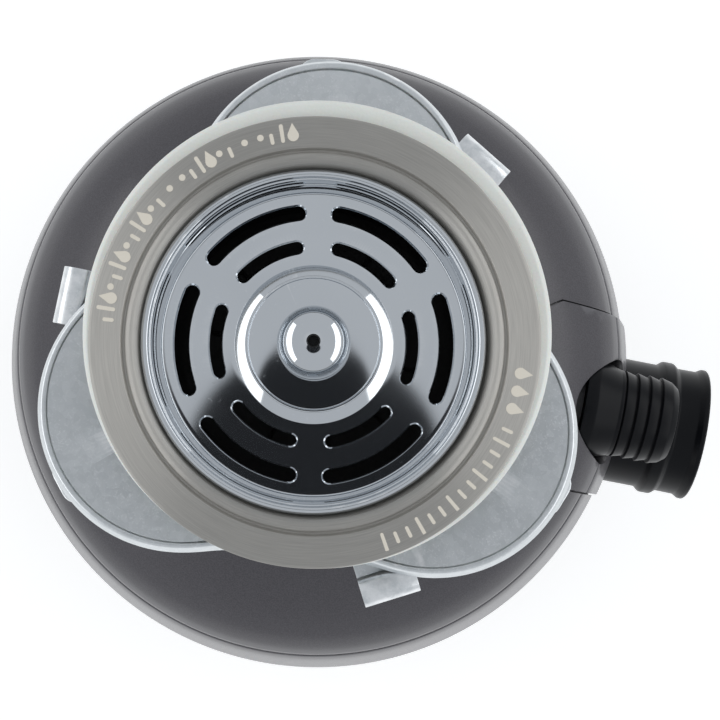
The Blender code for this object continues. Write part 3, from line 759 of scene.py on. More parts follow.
CHARCOAL = Finish(
    "charcoal_shell", (0.043, 0.04, 0.047), 0.42, 0.2, coat=0.45, coat_roughness=0.18, layers=(
        Layer(Grain.FLECK, {"Scale": 2600.0}, (0.09, 0.085, 0.097), 0.55, 0.08, 0.012),
        Layer(Grain.DUST, {"Scale": 18.0}, (0.085, 0.081, 0.086), 0.18, 0.06),
        Layer(Grain.EDGE, {"Low": 0.53, "High": 0.62}, (0.14, 0.14, 0.15), 0.5, 0.05)))
BRUSHED = Finish(
    "brushed_steel", (0.4, 0.388, 0.364), 0.4, 1.0, anisotropic=0.92, layers=(
        Layer(Grain.BRUSHED, {"Lines": 4200.0, "Length": 5.0}, (0.72, 0.7, 0.655), 0.75, 0.1, 0.003),))
CHROME = Finish(
    "mirror_chrome", (0.62, 0.65, 0.68), 0.045, 1.0, layers=(
        Layer(Grain.DUST, {"Scale": 30.0}, (0.68, 0.71, 0.74), 0.5, 0.03),
        # Near-white colour on sharp edges: a painted highlight along the rims and slot chamfers.
        Layer(Grain.EDGE, {"Low": 0.52, "High": 0.6}, (0.95, 0.96, 0.97), 0.7)))
ZINC = Finish(
    "zinc_plate", (0.65, 0.68, 0.695), 0.3, 1.0, layers=(
        Layer(Grain.SPANGLE, {"Scale": 600.0, "Specks": 1900.0}, (0.9, 0.92, 0.94), 0.6, 0.08, 0.015),
        Layer(Grain.DUST, {"Scale": 40.0}, (0.54, 0.57, 0.59), 0.1, 0.04),
        # Near-white colour on sharp edges: a painted highlight along the rolled rims of the lobes.
        Layer(Grain.EDGE, {"Low": 0.51, "High": 0.56}, (0.96, 0.97, 0.98), 0.75)))
MACHINED = Finish(
    "plain_steel", (0.55, 0.55, 0.55), 0.3, 1.0, layers=(
        Layer(Grain.BRUSHED, {"Lines": 2500.0, "Length": 9.0}, (0.7, 0.7, 0.7), 0.4, 0.12, 0.004),))
PALE_RUBBER = Finish(
    "pale_rubber", (0.79, 0.8, 0.755), 0.55, subsurface=0.1, layers=(
        Layer(Grain.DUST, {"Scale": 60.0}, (0.7, 0.7, 0.65), 0.5, 0.1, 0.01),
        Layer(Grain.FLECK, {"Scale": 1500.0}, (0.85, 0.85, 0.81), 0.3, 0.0, 0.01)))
BLACK_RUBBER = Finish(
    "black_rubber", (0.012, 0.012, 0.013), 0.55, layers=(
        Layer(Grain.DUST, {"Scale": 50.0}, (0.035, 0.035, 0.037), 0.5, 0.12, 0.01),
        Layer(Grain.FLECK, {"Scale": 1800.0}, None, 1.0, 0.1, 0.02)))
BLACK_PLASTIC = Finish(
    "black_plastic", (0.004, 0.0045, 0.006), 0.3, specular=0.14, layers=(
        Layer(Grain.DUST, {"Scale": 30.0}, (0.009, 0.009, 0.01), 0.45, 0.1),
        Layer(Grain.EDGE, {"Low": 0.53, "High": 0.62}, (0.02, 0.02, 0.021), 0.5, 0.05)))
BASE_PLASTIC = Finish(
    "base_plastic", (0.028, 0.028, 0.03), 0.5, layers=(
        Layer(Grain.FLECK, {"Scale": 1400.0}, (0.05, 0.05, 0.052), 0.5, 0.1, 0.03),
        Layer(Grain.EDGE, {"Low": 0.52, "High": 0.6}, (0.1, 0.1, 0.1), 0.4, 0.05)))
CHAMBER = Finish(
    "chamber_plastic", (0.012, 0.012, 0.014), 0.5, layers=(
        Layer(Grain.FLECK, {"Scale": 900.0}, (0.02, 0.02, 0.022), 0.5, 0.1, 0.02),))
RED = Finish(
    "red_plastic", (0.6, 0.03, 0.02), 0.3, layers=(
        Layer(Grain.DUST, {"Scale": 80.0}, (0.45, 0.05, 0.04), 0.4, 0.15),))
CAST = Finish(
    "cast_alloy", (0.46, 0.47, 0.48), 0.5, 1.0, layers=(
        Layer(Grain.FLECK, {"Scale": 700.0}, (0.6, 0.6, 0.6), 0.4, 0.12, 0.05),
        Layer(Grain.DUST, {"Scale": 30.0}, (0.35, 0.35, 0.36), 0.4, 0.1)))
CORE = Finish(
    "core_steel", (0.28, 0.28, 0.3), 0.42, 1.0, layers=(
        Layer(Grain.BRUSHED, {"Lines": 1500.0, "Length": 1.0}, (0.12, 0.12, 0.13), 0.6, 0.1, 0.03),))
COPPER = Finish(
    "varnished_copper", (0.5, 0.2, 0.08), 0.35, 0.8, coat=0.4, layers=(
        Layer(Grain.BRUSHED, {"Lines": 900.0, "Length": 2.0}, (0.25, 0.09, 0.03), 0.7, 0.1, 0.15),))
FOAM = Finish(
    "grey_foam", (0.25, 0.25, 0.26), 0.9, sheen=0.3, layers=(
        Layer(Grain.FLECK, {"Scale": 600.0}, (0.14, 0.14, 0.15), 0.8, 0.0, 0.3),))
FIBRE = Finish(
    "fibre_sheet", (0.2, 0.15, 0.1), 0.8, layers=(
        Layer(Grain.FLECK, {"Scale": 500.0}, (0.3, 0.24, 0.17), 0.6, 0.0, 0.05),))
ETCHED = Finish(
    "etched_marks", (0.74, 0.69, 0.59), 0.5, 0.2, layers=(
        Layer(Grain.FLECK, {"Scale": 3500.0}, (0.76, 0.72, 0.64), 0.5, 0.1, 0.005),))


# ---------------------------------------------------------------- workshop

@dataclass
class Workshop:
    """Turns meshes into finished pieces, and keeps one material for each finish."""

    top: float
    materials: dict[str, bpy.types.Material] = field(default_factory=dict)

    def material(self, finish: Finish) -> bpy.types.Material:
        """Give the material of a finish, and build it at its first use.

        Args:
            finish: the finish.

        Returns:
            Its material.
        """
        if finish.name not in self.materials:
            self.materials[finish.name] = finish.build()
        return self.materials[finish.name]

    def down(self, corners: Sequence[tuple[float, ...]]) -> list[tuple[float, ...]]:
        """Turn (radius, depth, ...) into (radius, height, ...)."""
        return [(across, self.top - depth, *rest) for across, depth, *rest in corners]

    def finish_piece(self, name: str, bm: bmesh.types.BMesh, finish: Finish, body: str,
                     replaces: Sequence[str] = (), sharp: float = 32.0) -> bpy.types.Object:
        """Make a piece from a mesh in millimetres.

        Args:
            name: the piece's name.
            bm: its mesh, which is freed.
            finish: its surface.
            body: the moving body it rides on.
            replaces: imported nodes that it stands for.
            sharp: edges over this angle in degrees are shaded sharp.

        Returns:
            The object.
        """
        bmesh.ops.scale(bm, vec=(MM, MM, MM), verts=bm.verts)
        mesh = bpy.data.meshes.new(name)
        bm.to_mesh(mesh)
        bm.free()
        mesh.shade_smooth()
        mesh.set_sharp_from_angle(angle=math.radians(sharp))
        mesh.materials.append(self.material(finish))
        obj = bpy.data.objects.new(name, mesh)
        bpy.context.collection.objects.link(obj)
        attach(obj, body)
        if replaces:
            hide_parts(*replaces)
        LOG.info("%s: %d faces on %s", name, len(mesh.polygons), body)
        return obj

    def dress(self, frame: dict, finish: Finish, nodes: Sequence[str]) -> None:
        """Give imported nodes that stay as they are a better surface.

        Args:
            frame: the loaded frame.
            finish: the new surface.
            nodes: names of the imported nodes.
        """
        for node in nodes:
            slots = frame["nodes"][node].data.materials
            slots.clear()
            slots.append(self.material(finish))
            LOG.info("%s: dressed as %s", node, finish.name)


# ---------------------------------------------------------------- sub-assemblies

@dataclass
class SinkFlange:
    """Stainless flange with its rolled inner lip, its sleeve and a frieze of etched marks."""

    rim_r: float = 57.5
    band_inner_r: float = 49.4
    lip_r: float = 47.0
    throat_r: float = 43.0
    sleeve_wall: float = 1.0
    sleeve_depth: float = 44.0
    mark_r: float = 53.6
    mark_height: float = 4.8

    def build(self, shop: Workshop) -> None:
        """Make the flange and its marks.

        Args:
            shop: the workshop that finishes the pieces.
        """
        outer = self.throat_r + self.sleeve_wall
        corners = [(self.rim_r, 2.9, 0.4), (self.rim_r, 0.5, 0.35), (self.rim_r - 0.7, 0.3, 0.5),
                   (self.band_inner_r, 0.5, 0.3), (48.9, 1.6, 0.3), (48.3, 1.6, 0.3), (48.0, 0.5, 0.6),
                   (self.lip_r, 0.0, 0.8), (46.2, 0.05, 0.9), (45.3, 1.1, 1.0), (45.25, 3.4, 1.0),
                   (self.throat_r, 7.0, 2.0),
                   (self.throat_r, self.sleeve_depth, 0.3), (outer, self.sleeve_depth, 0.3),
                   (outer, 7.6, 1.5), (46.4, 2.9, 0.8)]
        bm = turned(rounded(shop.down(corners)), FINE_STEPS)
        shop.finish_piece("sink_flange_fine", bm, BRUSHED, "disposer", ["sink_flange"], sharp=60.0)
        shop.finish_piece("etched_frieze", self.frieze(shop), ETCHED, "disposer")

    def mark(self, shape: Sequence[Point], degrees: float, shop: Workshop) -> bmesh.types.BMesh:
        """Lay one flat mark on the band, its own +Y pointing outwards.

        Args:
            shape: the mark's outline about its own middle.
            degrees: its place on the band.
            shop: the workshop that finishes the pieces.

        Returns:
            The mark.
        """
        proud = 0.03
        depth = 0.38
        placed = []
        for x, y in shape:
            turn = math.degrees(x / self.mark_r)
            placed.append(polar(self.mark_r + y, degrees - turn))
        return slab(placed, shop.top - depth - 0.3, shop.top - depth + proud + 0.03)

    def drop(self) -> list[Point]:
        """Draw a water drop, point outwards."""
        half = self.mark_height / 2
        return arc((0, -half * 0.35), half * 0.62, 160, 380, 14) + [(0, half)]

    def bar(self, width: float, low: float = -0.5, high: float = 0.5) -> list[Point]:
        """Draw an upright bar with round ends, low and high as shares of the mark's height.

        Args:
            width: the bar's width.
            low: its lower end.
            high: its upper end.

        Returns:
            The bar's outline.
        """
        return box_outline((-width / 2, low * self.mark_height), (width / 2, high * self.mark_height),
                           width * 0.49)

    def dot(self) -> list[Point]:
        """Draw a round dot."""
        return arc((0, 0), 0.85, 0, 345, 23)

    def frieze(self, shop: Workshop) -> bmesh.types.BMesh:
        """Set the marks: drops, bars and dots along two arcs of the band.

        Args:
            shop: the workshop that finishes the pieces.

        Returns:
            All the marks.
        """
        marks = []
        long_arc = range(0, 27)
        for index in long_arc:
            angle = 107.0 + 78.0 * index / (len(long_arc) - 1)
            if index in (4, 5, 12, 13):
                if index in (4, 12):
                    marks.append(self.mark(self.dot(), angle + 1.5, shop))
                continue
            shapes = (self.drop(), self.bar(1.0), self.bar(1.0, -0.5, 0.1), self.dot())
            marks.append(self.mark(shapes[index % len(shapes)], angle, shop))
        short_arc = range(0, 14)
        for index in short_arc:
            angle = -60.0 + 46.0 * index / (len(short_arc) - 1)
            tall = 0.5 if index % 3 else 0.8
            marks.append(self.mark(self.bar(0.9, -tall * 0.6, tall * 0.7), angle, shop))
        for index in range(3):
            marks.append(self.mark(self.drop(), -8.0 + 5.0 * index, shop))
        return gathered(marks)


@dataclass
class MountStack:
    """Everything that clamps the flange to a sink: gaskets, backup ring, lobed ring, screws and snap ring."""

    gasket_shift: Point = (0.21, 2.33)
    ring_shift: Point = (0.11, -0.59)
    ring_depth: float = 17.0
    skirt: float = 9.0
    wall: float = 2.0
    base_r: float = 57.5
    lobe_r: float = 38.1
    lobe_centre_r: float = 39.4
    lobes: tuple[float, ...] = (95.1, 215.1, 335.1)
    screw_r: float = 51.5

    def build(self, shop: Workshop) -> None:
        """Make the pieces of the stack.

        Args:
            shop: the workshop that finishes the pieces.
        """
        soft = [(49.3, 3.3, 0.3), (58.9, 3.3, 0.9), (60.0, 4.2, 0.8), (60.0, 5.3, 0.6), (59.3, 6.0, 0.4),
                (49.3, 6.0, 0.3)]
        bm = turned(rounded(shop.down(soft)), FINE_STEPS, centre=(*self.gasket_shift, 0))
        shop.finish_piece("sink_gasket_fine", bm, PALE_RUBBER, "disposer", ["sink_gasket"])
        fibre = [(45.6, 7.8, 0.2), (56.0, 7.8, 0.2), (56.0, 6.3, 0.2), (45.6, 6.3, 0.2)]
        shop.finish_piece("fibre_gasket_fine", turned(rounded(shop.down(fibre))), FIBRE, "disposer",
                          ["fibre_gasket"])
        backup = [(45.6, 8.1, 0.2), (56.2, 8.1, 0.8), (57.0, 8.9, 0.6), (57.0, 12.5, 0.3),
                  (55.4, 12.5, 0.3), (55.4, 9.9, 0.4), (45.6, 9.9, 0.2)]
        shop.finish_piece("backup_ring_fine", turned(rounded(shop.down(backup))), ZINC, "disposer",
                          ["backup_ring"])
        shop.finish_piece("mount_ring_fine", self.ring(shop), ZINC, "disposer", ["upper_mount_ring"])
        for number, angle in enumerate(self.lobes, start=1):
            shop.finish_piece(f"mount_screw_fine_{number}", self.screw(shop, angle), ZINC, "disposer",
                              [f"mount_screw_{number}"])
        wire = arc((45.4, shop.top - self.ring_depth - self.wall - 1.4), 1.1, 0, 345, 23)
        bm = turned(wire)
        gap = slab(box_outline((40.0, -2.5), (50.0, 2.5), 0.3), shop.top - 30, shop.top)
        bm = carved(bm, spun(gap, 150.0), Cut.AWAY)
        shop.finish_piece("snap_ring_fine", bm, MACHINED, "disposer", ["snap_ring"])

    def reach(self, degrees: float) -> float:
        """Give the ring's outer radius at an angle: three lobes blended into the base circle.

        Args:
            degrees: the angle.

        Returns:
            The radius.
        """
        blend = 26.0
        total = self.base_r ** blend
        for lobe in self.lobes:
            offset = math.radians((degrees - lobe + 180.0) % 360.0 - 180.0)
            across = self.lobe_centre_r * math.sin(offset)
            if abs(across) < self.lobe_r and math.cos(offset) > 0:
                far = self.lobe_centre_r * math.cos(offset) + math.sqrt(self.lobe_r ** 2 - across ** 2)
                total += far ** blend
        return total ** (1.0 / blend)

    def ring(self, shop: Workshop) -> bmesh.types.BMesh:
        """Press the lobed ring: flat plate, rolled bead along the edge, turned-down skirt.

        Args:
            shop: the workshop that finishes the pieces.

        Returns:
            The ring.
        """
        edge, depth = self.base_r, self.ring_depth
        low = depth + self.skirt
        inner = 45.0
        section = [(inner, depth + 0.6, 0.3), (edge - 3.9, depth + 0.6, 0.3), (edge - 3.4, depth, 0.5),
                   (edge - 2.2, depth, 0.8), (edge - 1.4, depth + 1.1, 0.8), (edge - 1.1, low - 2.4, 0.8),
                   (edge, low - 0.9, 0.5), (edge, low, 0.3), (edge - 1.6, low, 0.3),
                   (edge - 3.4, depth + self.wall + 0.8, 0.9), (inner, depth + self.wall, 0.3)]
        bm = turned(rounded(shop.down(section)), 360)
        for vert in bm.verts:
            radius = math.hypot(vert.co.x, vert.co.y)
            if radius > inner + 1.0:
                degrees = math.degrees(math.atan2(vert.co.y, vert.co.x))
                grow = (radius + self.reach(degrees) - edge) / radius
                vert.co.x *= grow
                vert.co.y *= grow
        bmesh.ops.translate(bm, vec=(*self.ring_shift, 0), verts=bm.verts)
        holes = [drill(2.8, shop.top - depth - 5, shop.top - depth + 3, centre=(*self.screw_at(angle), 0))
                 for angle in self.lobes]
        return carved(bm, gathered(holes), Cut.AWAY)

    def screw_at(self, angle: float) -> Point:
        """Give the axis of the mount screw at an angle.

        Args:
            angle: the lobe's angle.

        Returns:
            The axis's place.
        """
        across, along = polar(self.screw_r, angle)
        return across + self.ring_shift[0], along + self.ring_shift[1]

    def screw(self, shop: Workshop, angle: float) -> bmesh.types.BMesh:
        """Make one mount screw, head down, with turned thread ridges and a cross recess.

        Args:
            shop: the workshop that finishes the pieces.
            angle: the lobe's angle.

        Returns:
            The screw.
        """
        outline = shop.down([(0, 27.0), (3.4, 27.0), (4.1, 26.3), (4.2, 24.5), (3.9, 24.2), (2.3, 24.2)])
        pitch = 0.9
        for turn in range(11):
            height = shop.top - 23.8 + pitch * turn
            outline += [(2.1, height), (2.5, height + pitch / 2)]
        outline += shop.down([(2.0, 13.6), (1.2, 12.9), (0, 12.9)])
        bm = turned(outline, 48, closed=False, centre=(*self.screw_at(angle), 0))
        return carved(bm, cross(self.screw_at(angle), shop.top - 28, shop.top - 25.4, 5.0), Cut.AWAY)


def cross(at: Point, low: float, high: float, size: float) -> bmesh.types.BMesh:
    """Make the body that cuts a screw's cross recess.

    Args:
        at: the screw's axis.
        low: lower end.
        high: upper end.
        size: length of the cross's arms.

    Returns:
        The cutting body.
    """
    half, arm = size * 0.11, size / 2
    points = [(half, half), (half, arm), (-half, arm), (-half, half), (-arm, half), (-arm, -half),
              (-half, -half), (-half, -arm), (half, -arm), (half, -half), (arm, -half), (arm, half)]
    return slab([(x + at[0], y + at[1]) for x, y in points], low, high)


@dataclass
class LockRing:
    """The turning ring: collar, plate, three rolled wrench lugs and three round ears."""

    plate_depth: float = 34.0
    plate_r: float = 59.0
    root_r: float = 56.0
    lugs: tuple[float, ...] = (59.3, 179.3, 298.0)
    ears: tuple[float, ...] = (99.3, 219.3, 339.3)
    lug_r: float = 71.0
    lug_width: float = 15.5
    ear_r: float = 79.0
    ear_width: float = 14.0

    def build(self, shop: Workshop) -> None:
        """Make the ring in one pressed piece.

        Args:
            shop: the workshop that finishes the pieces.
        """
        low = shop.top - self.plate_depth
        high = low + 2.0
        section = [(51.0, high, 1.2), (self.plate_r, high, 0.5), (self.plate_r, low, 0.5), (53.0, low, 1.0),
                   (53.0, shop.top - 52.5, 1.2), (48.6, shop.top - 52.5, 0.4), (48.6, shop.top - 50.5, 0.4),
                   (51.0, shop.top - 50.5, 0.5)]
        bm = turned(rounded(section))
        middle = low + 1.0
        bend = 2.7
        lug_line = [(self.root_r, middle), (self.lug_r - 1.0 - bend - 1.5, middle)]
        lug_line += arc((self.lug_r - 1.0 - bend, middle + bend), bend, -90, 90, 12)
        lug_line += [(self.lug_r - 1.0 - bend - 2.6, middle + 2 * bend)]
        lug_line += arc((self.lug_r - 1.0 - bend - 2.6, middle + 2 * bend - 1.3), 1.3, 100, 190, 8)
        ear = box_outline((self.root_r, -self.ear_width / 2), (self.ear_r, self.ear_width / 2), 4.5)
        tabs = [softened(standing(strip(lug_line, 1.8), self.lug_width, angle), 0.35) for angle in self.lugs]
        tabs += [spun(softened(slab(ear, low + 0.12, high - 0.12), 0.35), angle) for angle in self.ears]
        bm = carved(bm, gathered(tabs), Cut.JOIN)
        shop.finish_piece("lock_ring_fine", bm, ZINC, "lock", ["lock_ring"])


@dataclass
class SplashBaffle:
    """Black rubber cushion with a mouth, its disc split into petals."""

    petals: int = 10
    mouth_r: float = 15.0

    def build(self, shop: Workshop) -> None:
        """Turn the cushion, then press the grooves between the petals into its disc.

        Args:
            shop: the workshop that finishes the pieces.
        """
        corners = [(40.6, 44.3, 0.6), (49.0, 44.3, 0.8), (49.0, 47.3, 0.6), (43.7, 47.3, 0.5),
                   (43.7, 58.0, 1.5), (39.0, 61.4, 2.0), (self.mouth_r, 63.0, 0.7),
                   (self.mouth_r, 61.2, 0.7), (38.0, 59.0, 2.0), (40.6, 56.6, 1.5)]
        bm = turned(rounded(shop.down(corners)), 240)
        for radius in range(18, 38, 4):
            self.ring_cut(bm, float(radius))
        for vert in bm.verts:
            radius = math.hypot(vert.co.x, vert.co.y)
            if radius < 37.0:
                degrees = math.degrees(math.atan2(vert.co.y, vert.co.x))
                pitch = 360.0 / self.petals
                away = abs((degrees + pitch / 2) % pitch - pitch / 2) * math.radians(1) * radius
                if away < 0.8 and vert.co.z > shop.top - 61.8:
                    vert.co.z -= 0.9 * (1 - away / 0.8) * min(1.0, (37.0 - radius) / 4)
        shop.finish_piece("splash_baffle_fine", bm, BLACK_RUBBER, "disposer", ["splash_baffle"])

    @staticmethod
    def ring_cut(bm: bmesh.types.BMesh, radius: float) -> None:
        """Add a ring of vertices to the disc, by halving its long radial edges.

        Args:
            bm: the cushion.
            radius: where the ring goes.
        """
        long_edges = [edge for edge in bm.edges
                      if edge.calc_length() > 3.0
                      and abs(edge.verts[0].co.xy.length - edge.verts[1].co.xy.length) > 2.9
                      and min(v.co.xy.length for v in edge.verts) < radius < 38.0]
        bmesh.ops.subdivide_edges(bm, edges=long_edges, cuts=1)


@dataclass
class Strainer:
    """Lift-out chrome basket: stepped rim, slotted plate, raised hub, knob and nut."""

    plate_depth: float = 17.0
    plate_r: float = 40.0
    shift: Place = (-0.41, 0.02, 0.0)
    slot_rows: tuple[tuple[float, float, float], ...] = ((34.9, 1.8, 21.3), (25.9, 1.55, 18.2))
    slots_per_row: int = 6
    first_slot: float = 8.9
    chamfer: float = 0.4
    knob_r: float = 9.6

    def build(self, shop: Workshop) -> None:
        """Make basket, knob and nut.

        Args:
            shop: the workshop that finishes the pieces.
        """
        shop.finish_piece("strainer_basket_fine", self.basket(shop), CHROME, "strainer", ["strainer_basket"],
                          sharp=28.0)
        shop.finish_piece("strainer_knob_fine", self.knob(shop), CHROME, "strainer", ["strainer_knob"],
                          sharp=40.0)
        # A thin black cup set in the knob's centre hole: painted shade, so the hole reads dark.
        painted_hole_shade = [(0, 4.35), (1.65, 4.35), (1.65, 1.6), (1.45, 1.6), (1.45, 4.2), (0, 4.2)]
        bm = turned(shop.down(painted_hole_shade), SMALL_STEPS, False, centre=self.shift)
        shop.finish_piece("knob_hole_painted_shade", bm, BLACK_RUBBER, "strainer")
        nut_top, nut_low = shop.top - self.plate_depth + 0.2, shop.top - 19.4
        nut = slab(arc((0, 0), 7.8, 0, 300, 5), nut_low, nut_top)
        nut = carved(softened(nut, 0.4), drill(4.2, nut_low - 2, nut_top + 2), Cut.AWAY)
        bmesh.ops.translate(nut, vec=self.shift, verts=nut.verts)
        shop.finish_piece("strainer_nut_fine", nut, MACHINED, "strainer", ["strainer_nut"])

    def basket(self, shop: Workshop) -> bmesh.types.BMesh:
        """Turn the basket with its polished steps, and cut its slots.

        Args:
            shop: the workshop that finishes the pieces.

        Returns:
            The basket.
        """
        plate = self.plate_depth
        corners = [(44.3, 3.9, 0.5), (43.9, 2.9, 0.7), (42.9, 2.6, 0.5), (42.3, 2.9, 0.4), (42.0, 3.9, 0.4),
                   (41.6, 4.0, 0.3), (41.2, 5.2, 0.5), (40.95, 6.6, 0.4), (40.6, 6.9, 0.4), (40.4, 8.6, 0.5),
                   (40.3, 12.0, 1.0), (self.plate_r, plate, 0.5), (38.6, plate, 0), (31.0, plate, 0),
                   (22.2, plate, 0), (20.9, plate, 0.4), (18.0, plate - 1.6, 0.3), (17.7, plate - 1.5, 0.1),
                   (17.4, plate - 1.5, 0.1), (17.1, plate - 1.8, 0.3), (9.5, plate - 1.8, 0),
                   (4.3, plate - 1.8, 0.3), (4.3, plate - 0.5, 0.3), (17.0, plate - 0.3, 1.0),
                   (20.4, plate + 1.2, 0.8), (40.8, plate + 1.2, 1.2), (41.6, 8.2, 0.8), (42.8, 5.4, 0.6),
                   (43.8, 4.6, 0.3)]
        bm = turned(rounded(shop.down(corners), steps=5), FINE_STEPS)
        tools = []
        for centre_r, half_width, half_span in self.slot_rows:
            for index in range(self.slots_per_row):
                tools.append(self.slot(shop, centre_r, half_width, half_span, self.first_slot + 60.0 * index))
        bm = carved(bm, gathered(tools), Cut.AWAY)
        bmesh.ops.translate(bm, vec=self.shift, verts=bm.verts)
        return bm

    def slot(self, shop: Workshop, radius: float, half_width: float, half_span: float,
             middle: float) -> bmesh.types.BMesh:
        """Make the body that cuts one slot, with a chamfer along the plate's top face.

        Args:
            shop: the workshop that finishes the pieces.
            radius: the slot's middle line.
            half_width: half its width.
            half_span: half its angle.
            middle: the angle of its middle.

        Returns:
            The cutting body.
        """
        top = shop.top - self.plate_depth
        narrow = self.slot_outline(radius, half_width, half_span, middle)
        wide = self.slot_outline(radius, half_width + self.chamfer, half_span, middle)
        return stacked([(narrow, top - 4), (narrow, top - self.chamfer), (wide, top + 0.001),
                        (wide, top + 3)])

    @staticmethod
    def slot_outline(radius: float, half_width: float, half_span: float, middle: float) -> list[Point]:
        """Draw a curved slot with round ends.

        Args:
            radius: the slot's middle line.
            half_width: half its width.
            half_span: half its angle.
            middle: the angle of its middle.

        Returns:
            The closed outline.
        """
        start, end = middle - half_span, middle + half_span
        points = arc((0, 0), radius + half_width, start, end, 24)
        points += arc(polar(radius, end), half_width, end, end + 180, 10)[1:-1]
        points += arc((0, 0), radius - half_width, end, start, 24)
        points += arc(polar(radius, start), half_width, start + 180, start + 360, 10)[1:-1]
        return points

    def knob(self, shop: Workshop) -> bmesh.types.BMesh:
        """Turn the domed knob with its small centre hole and the stem below.

        Args:
            shop: the workshop that finishes the pieces.

        Returns:
            The knob with its stem.
        """
        foot = self.plate_depth - 2.1
        blunt = 0.74
        dome = [(self.knob_r * math.sin(math.radians(a)) ** blunt,
                 9.7 - 8.9 * math.cos(math.radians(a)) ** blunt) for a in range(6, 90, 4)]
        dome += [(self.knob_r * math.cos(math.radians(a)), 9.7 + 6.0 * math.sin(math.radians(a)))
                 for a in range(0, 41, 5)]
        outline = [(0.0, 4.4), (1.7, 4.4), (1.7, 1.3)] + dome + [(7.2, foot - 0.3), (6.8, foot), (3.9, foot)]
        outline += [(3.9, 20.6), (3.5, 21.0), (0.0, 21.0)]
        return turned(shop.down(outline), ROUND_STEPS, closed=False, centre=self.shift)


@dataclass
class Housing:
    """Upper shell, body shell, the cover over the spigots, and the base."""

    wall: float = 2.5
    seam: float = 78.0
    body_r: float = 97.59
    bay_y: tuple[float, float] = (-25.0, 28.2)
    bay_inner: float = 60.5
    bay_corner: float = 66.8
    bay_cut: float = 4.4
    bay_low: float = 150.0
    joint_gap: float = 0.45
    cover_trim: float = 0.1
    lip_depth: float = 1.2
    lip_reach: float = 0.36
    tube_hole: float = 20.9
    spigot_hole: float = 15.8
    proud: tuple[float, float] = (1.04, 0.78)
    outlet_depth: float = 125.0
    inlet_depth: float = 78.0
    gland_depth: float = 286.0
    reset_at: Place = (0, 28, 0)
    terminal_screw_at: Place = (24, -27, 0)

    def shell_line(self, shop: Workshop) -> list[Point]:
        """Draw the dome of the upper shell, from the neck to the seam.

        Args:
            shop: the workshop that finishes the pieces.

        Returns:
            The line.
        """
        return shop.down([(54.6, 52.2), (57.0, 53.4), (66.0, 57.8), (73.0, 61.6), (78.0, 64.9), (82.5, 68.6),
                          (85.8, 72.4), (87.8, 76.0)])

    def body_line(self, shop: Workshop) -> list[Point]:
        """Draw the wall of the body shell, from the seam down.

        Args:
            shop: the workshop that finishes the pieces.

        Returns:
            The line.
        """
        wide = self.body_r
        return shop.down([(89.3, 79.6), (90.7, 84.0), (93.6, 97.0), (96.1, 110.0), (wide, 129.0),
                          (wide, 165.0), (wide, 200.0), (96.9, 260.0), (95.8, 294.0)])

    def held(self, line: Sequence[Point]) -> list[Point]:
        """Hold a curve within the body's widest radius."""
        return [(min(across, self.body_r), up) for across, up in line]

    def build(self, shop: Workshop) -> None:
        """Make the shells, the cover and the base.

        Args:
            shop: the workshop that finishes the pieces.
        """
        line = flowing(self.shell_line(shop))
        lip = shop.down([(88.35, 77.4), (88.3, 77.75), (88.0, 77.95)])
        upper = turned(line + lip + [(85.6, shop.top - 77.95)] + shrunk(line, self.wall)[::-1], FINE_STEPS)
        upper = carved(upper, self.bay(self.joint_gap, shop), Cut.AWAY)
        shop.finish_piece("upper_shell_fine", upper, CHARCOAL, "disposer", ["upper_shell"])

        line = self.held(flowing(self.body_line(shop)))
        head = shop.down([(86.2, 78.4), (88.3, 78.4), (88.75, 78.55), (89.05, 78.95)])
        foot = shop.down([(95.7, 296.5), (95.1, 297.1), (95.1, 297.9), (95.6, 298.5), (95.3, 306.8),
                          (95.0, 307.4), (92.7, 307.5)])
        body = turned(head + line + foot + shrunk(line, self.wall)[::-1], FINE_STEPS)
        body = carved(body, self.bay(self.joint_gap, shop), Cut.AWAY)
        gland = drill(9.3, -120, -80, Direction.OUT, (0, 0, shop.top - self.gland_depth))
        body = carved(body, gland, Cut.AWAY)
        shop.finish_piece("body_shell_fine", body, CHARCOAL, "disposer", ["body_shell"])
        self.cover(shop)
        self.base(shop)

    def bay(self, margin: float, shop: Workshop) -> bmesh.types.BMesh:
        """Make the upright block of the bay, open to the outside, its inner corners cut off.

        Args:
            margin: how much wider than the cover it is.
            shop: the workshop that finishes the pieces.

        Returns:
            The cutting body.
        """
        right, left = self.bay_y[0] - margin, self.bay_y[1] + margin
        inner, corner = self.bay_inner - margin, self.bay_corner - 0.3 * margin
        cut = self.bay_cut + 0.25 * margin
        outline = [(150.0, right), (150.0, left), (corner, left), (inner, left - cut), (inner, right + cut),
                   (corner, right)]
        return slab(outline, self.bay_low - margin, shop.top)

    def cover(self, shop: Workshop) -> None:
        """Cut the outlet cover from a patch of the housing that stands slightly proud.

        Args:
            shop: the workshop that finishes the pieces.
        """
        upper = flowing(self.shell_line(shop)[1:])
        lower = self.held(flowing(self.body_line(shop)[:7]))
        notch = shop.down([(88.35, 77.2), (88.2, 77.7), (87.5, 78.0), (87.6, 78.6), (88.8, 78.9)])
        outer = [(across + self.proud[0], up + self.proud[1]) for across, up in upper + notch + lower]
        inner = shrunk(upper + lower, self.wall)
        patch = turned(self.held(outer) + inner[::-1], FINE_STEPS)
        patch = carved(patch, self.bay(-self.cover_trim, shop), Cut.KEEP)
        lip = turned(shrunk(upper + lower, self.lip_depth) + inner[::-1], FINE_STEPS)
        patch = carved(patch, carved(lip, self.bay(self.lip_reach, shop), Cut.KEEP), Cut.JOIN)
        tube = drill(self.tube_hole, 80, 130, Direction.OUT, (0, 0, shop.top - self.outlet_depth))
        spigot = drill(self.spigot_hole, 62, 130, Direction.OUT, (0, 0, shop.top - self.inlet_depth), 96)
        patch = carved(patch, tube, Cut.AWAY)
        patch = carved(patch, spigot, Cut.AWAY)
        shop.finish_piece("outlet_cover_fine", softened(patch, 0.35), CHARCOAL, "disposer", ["outlet_cover"])

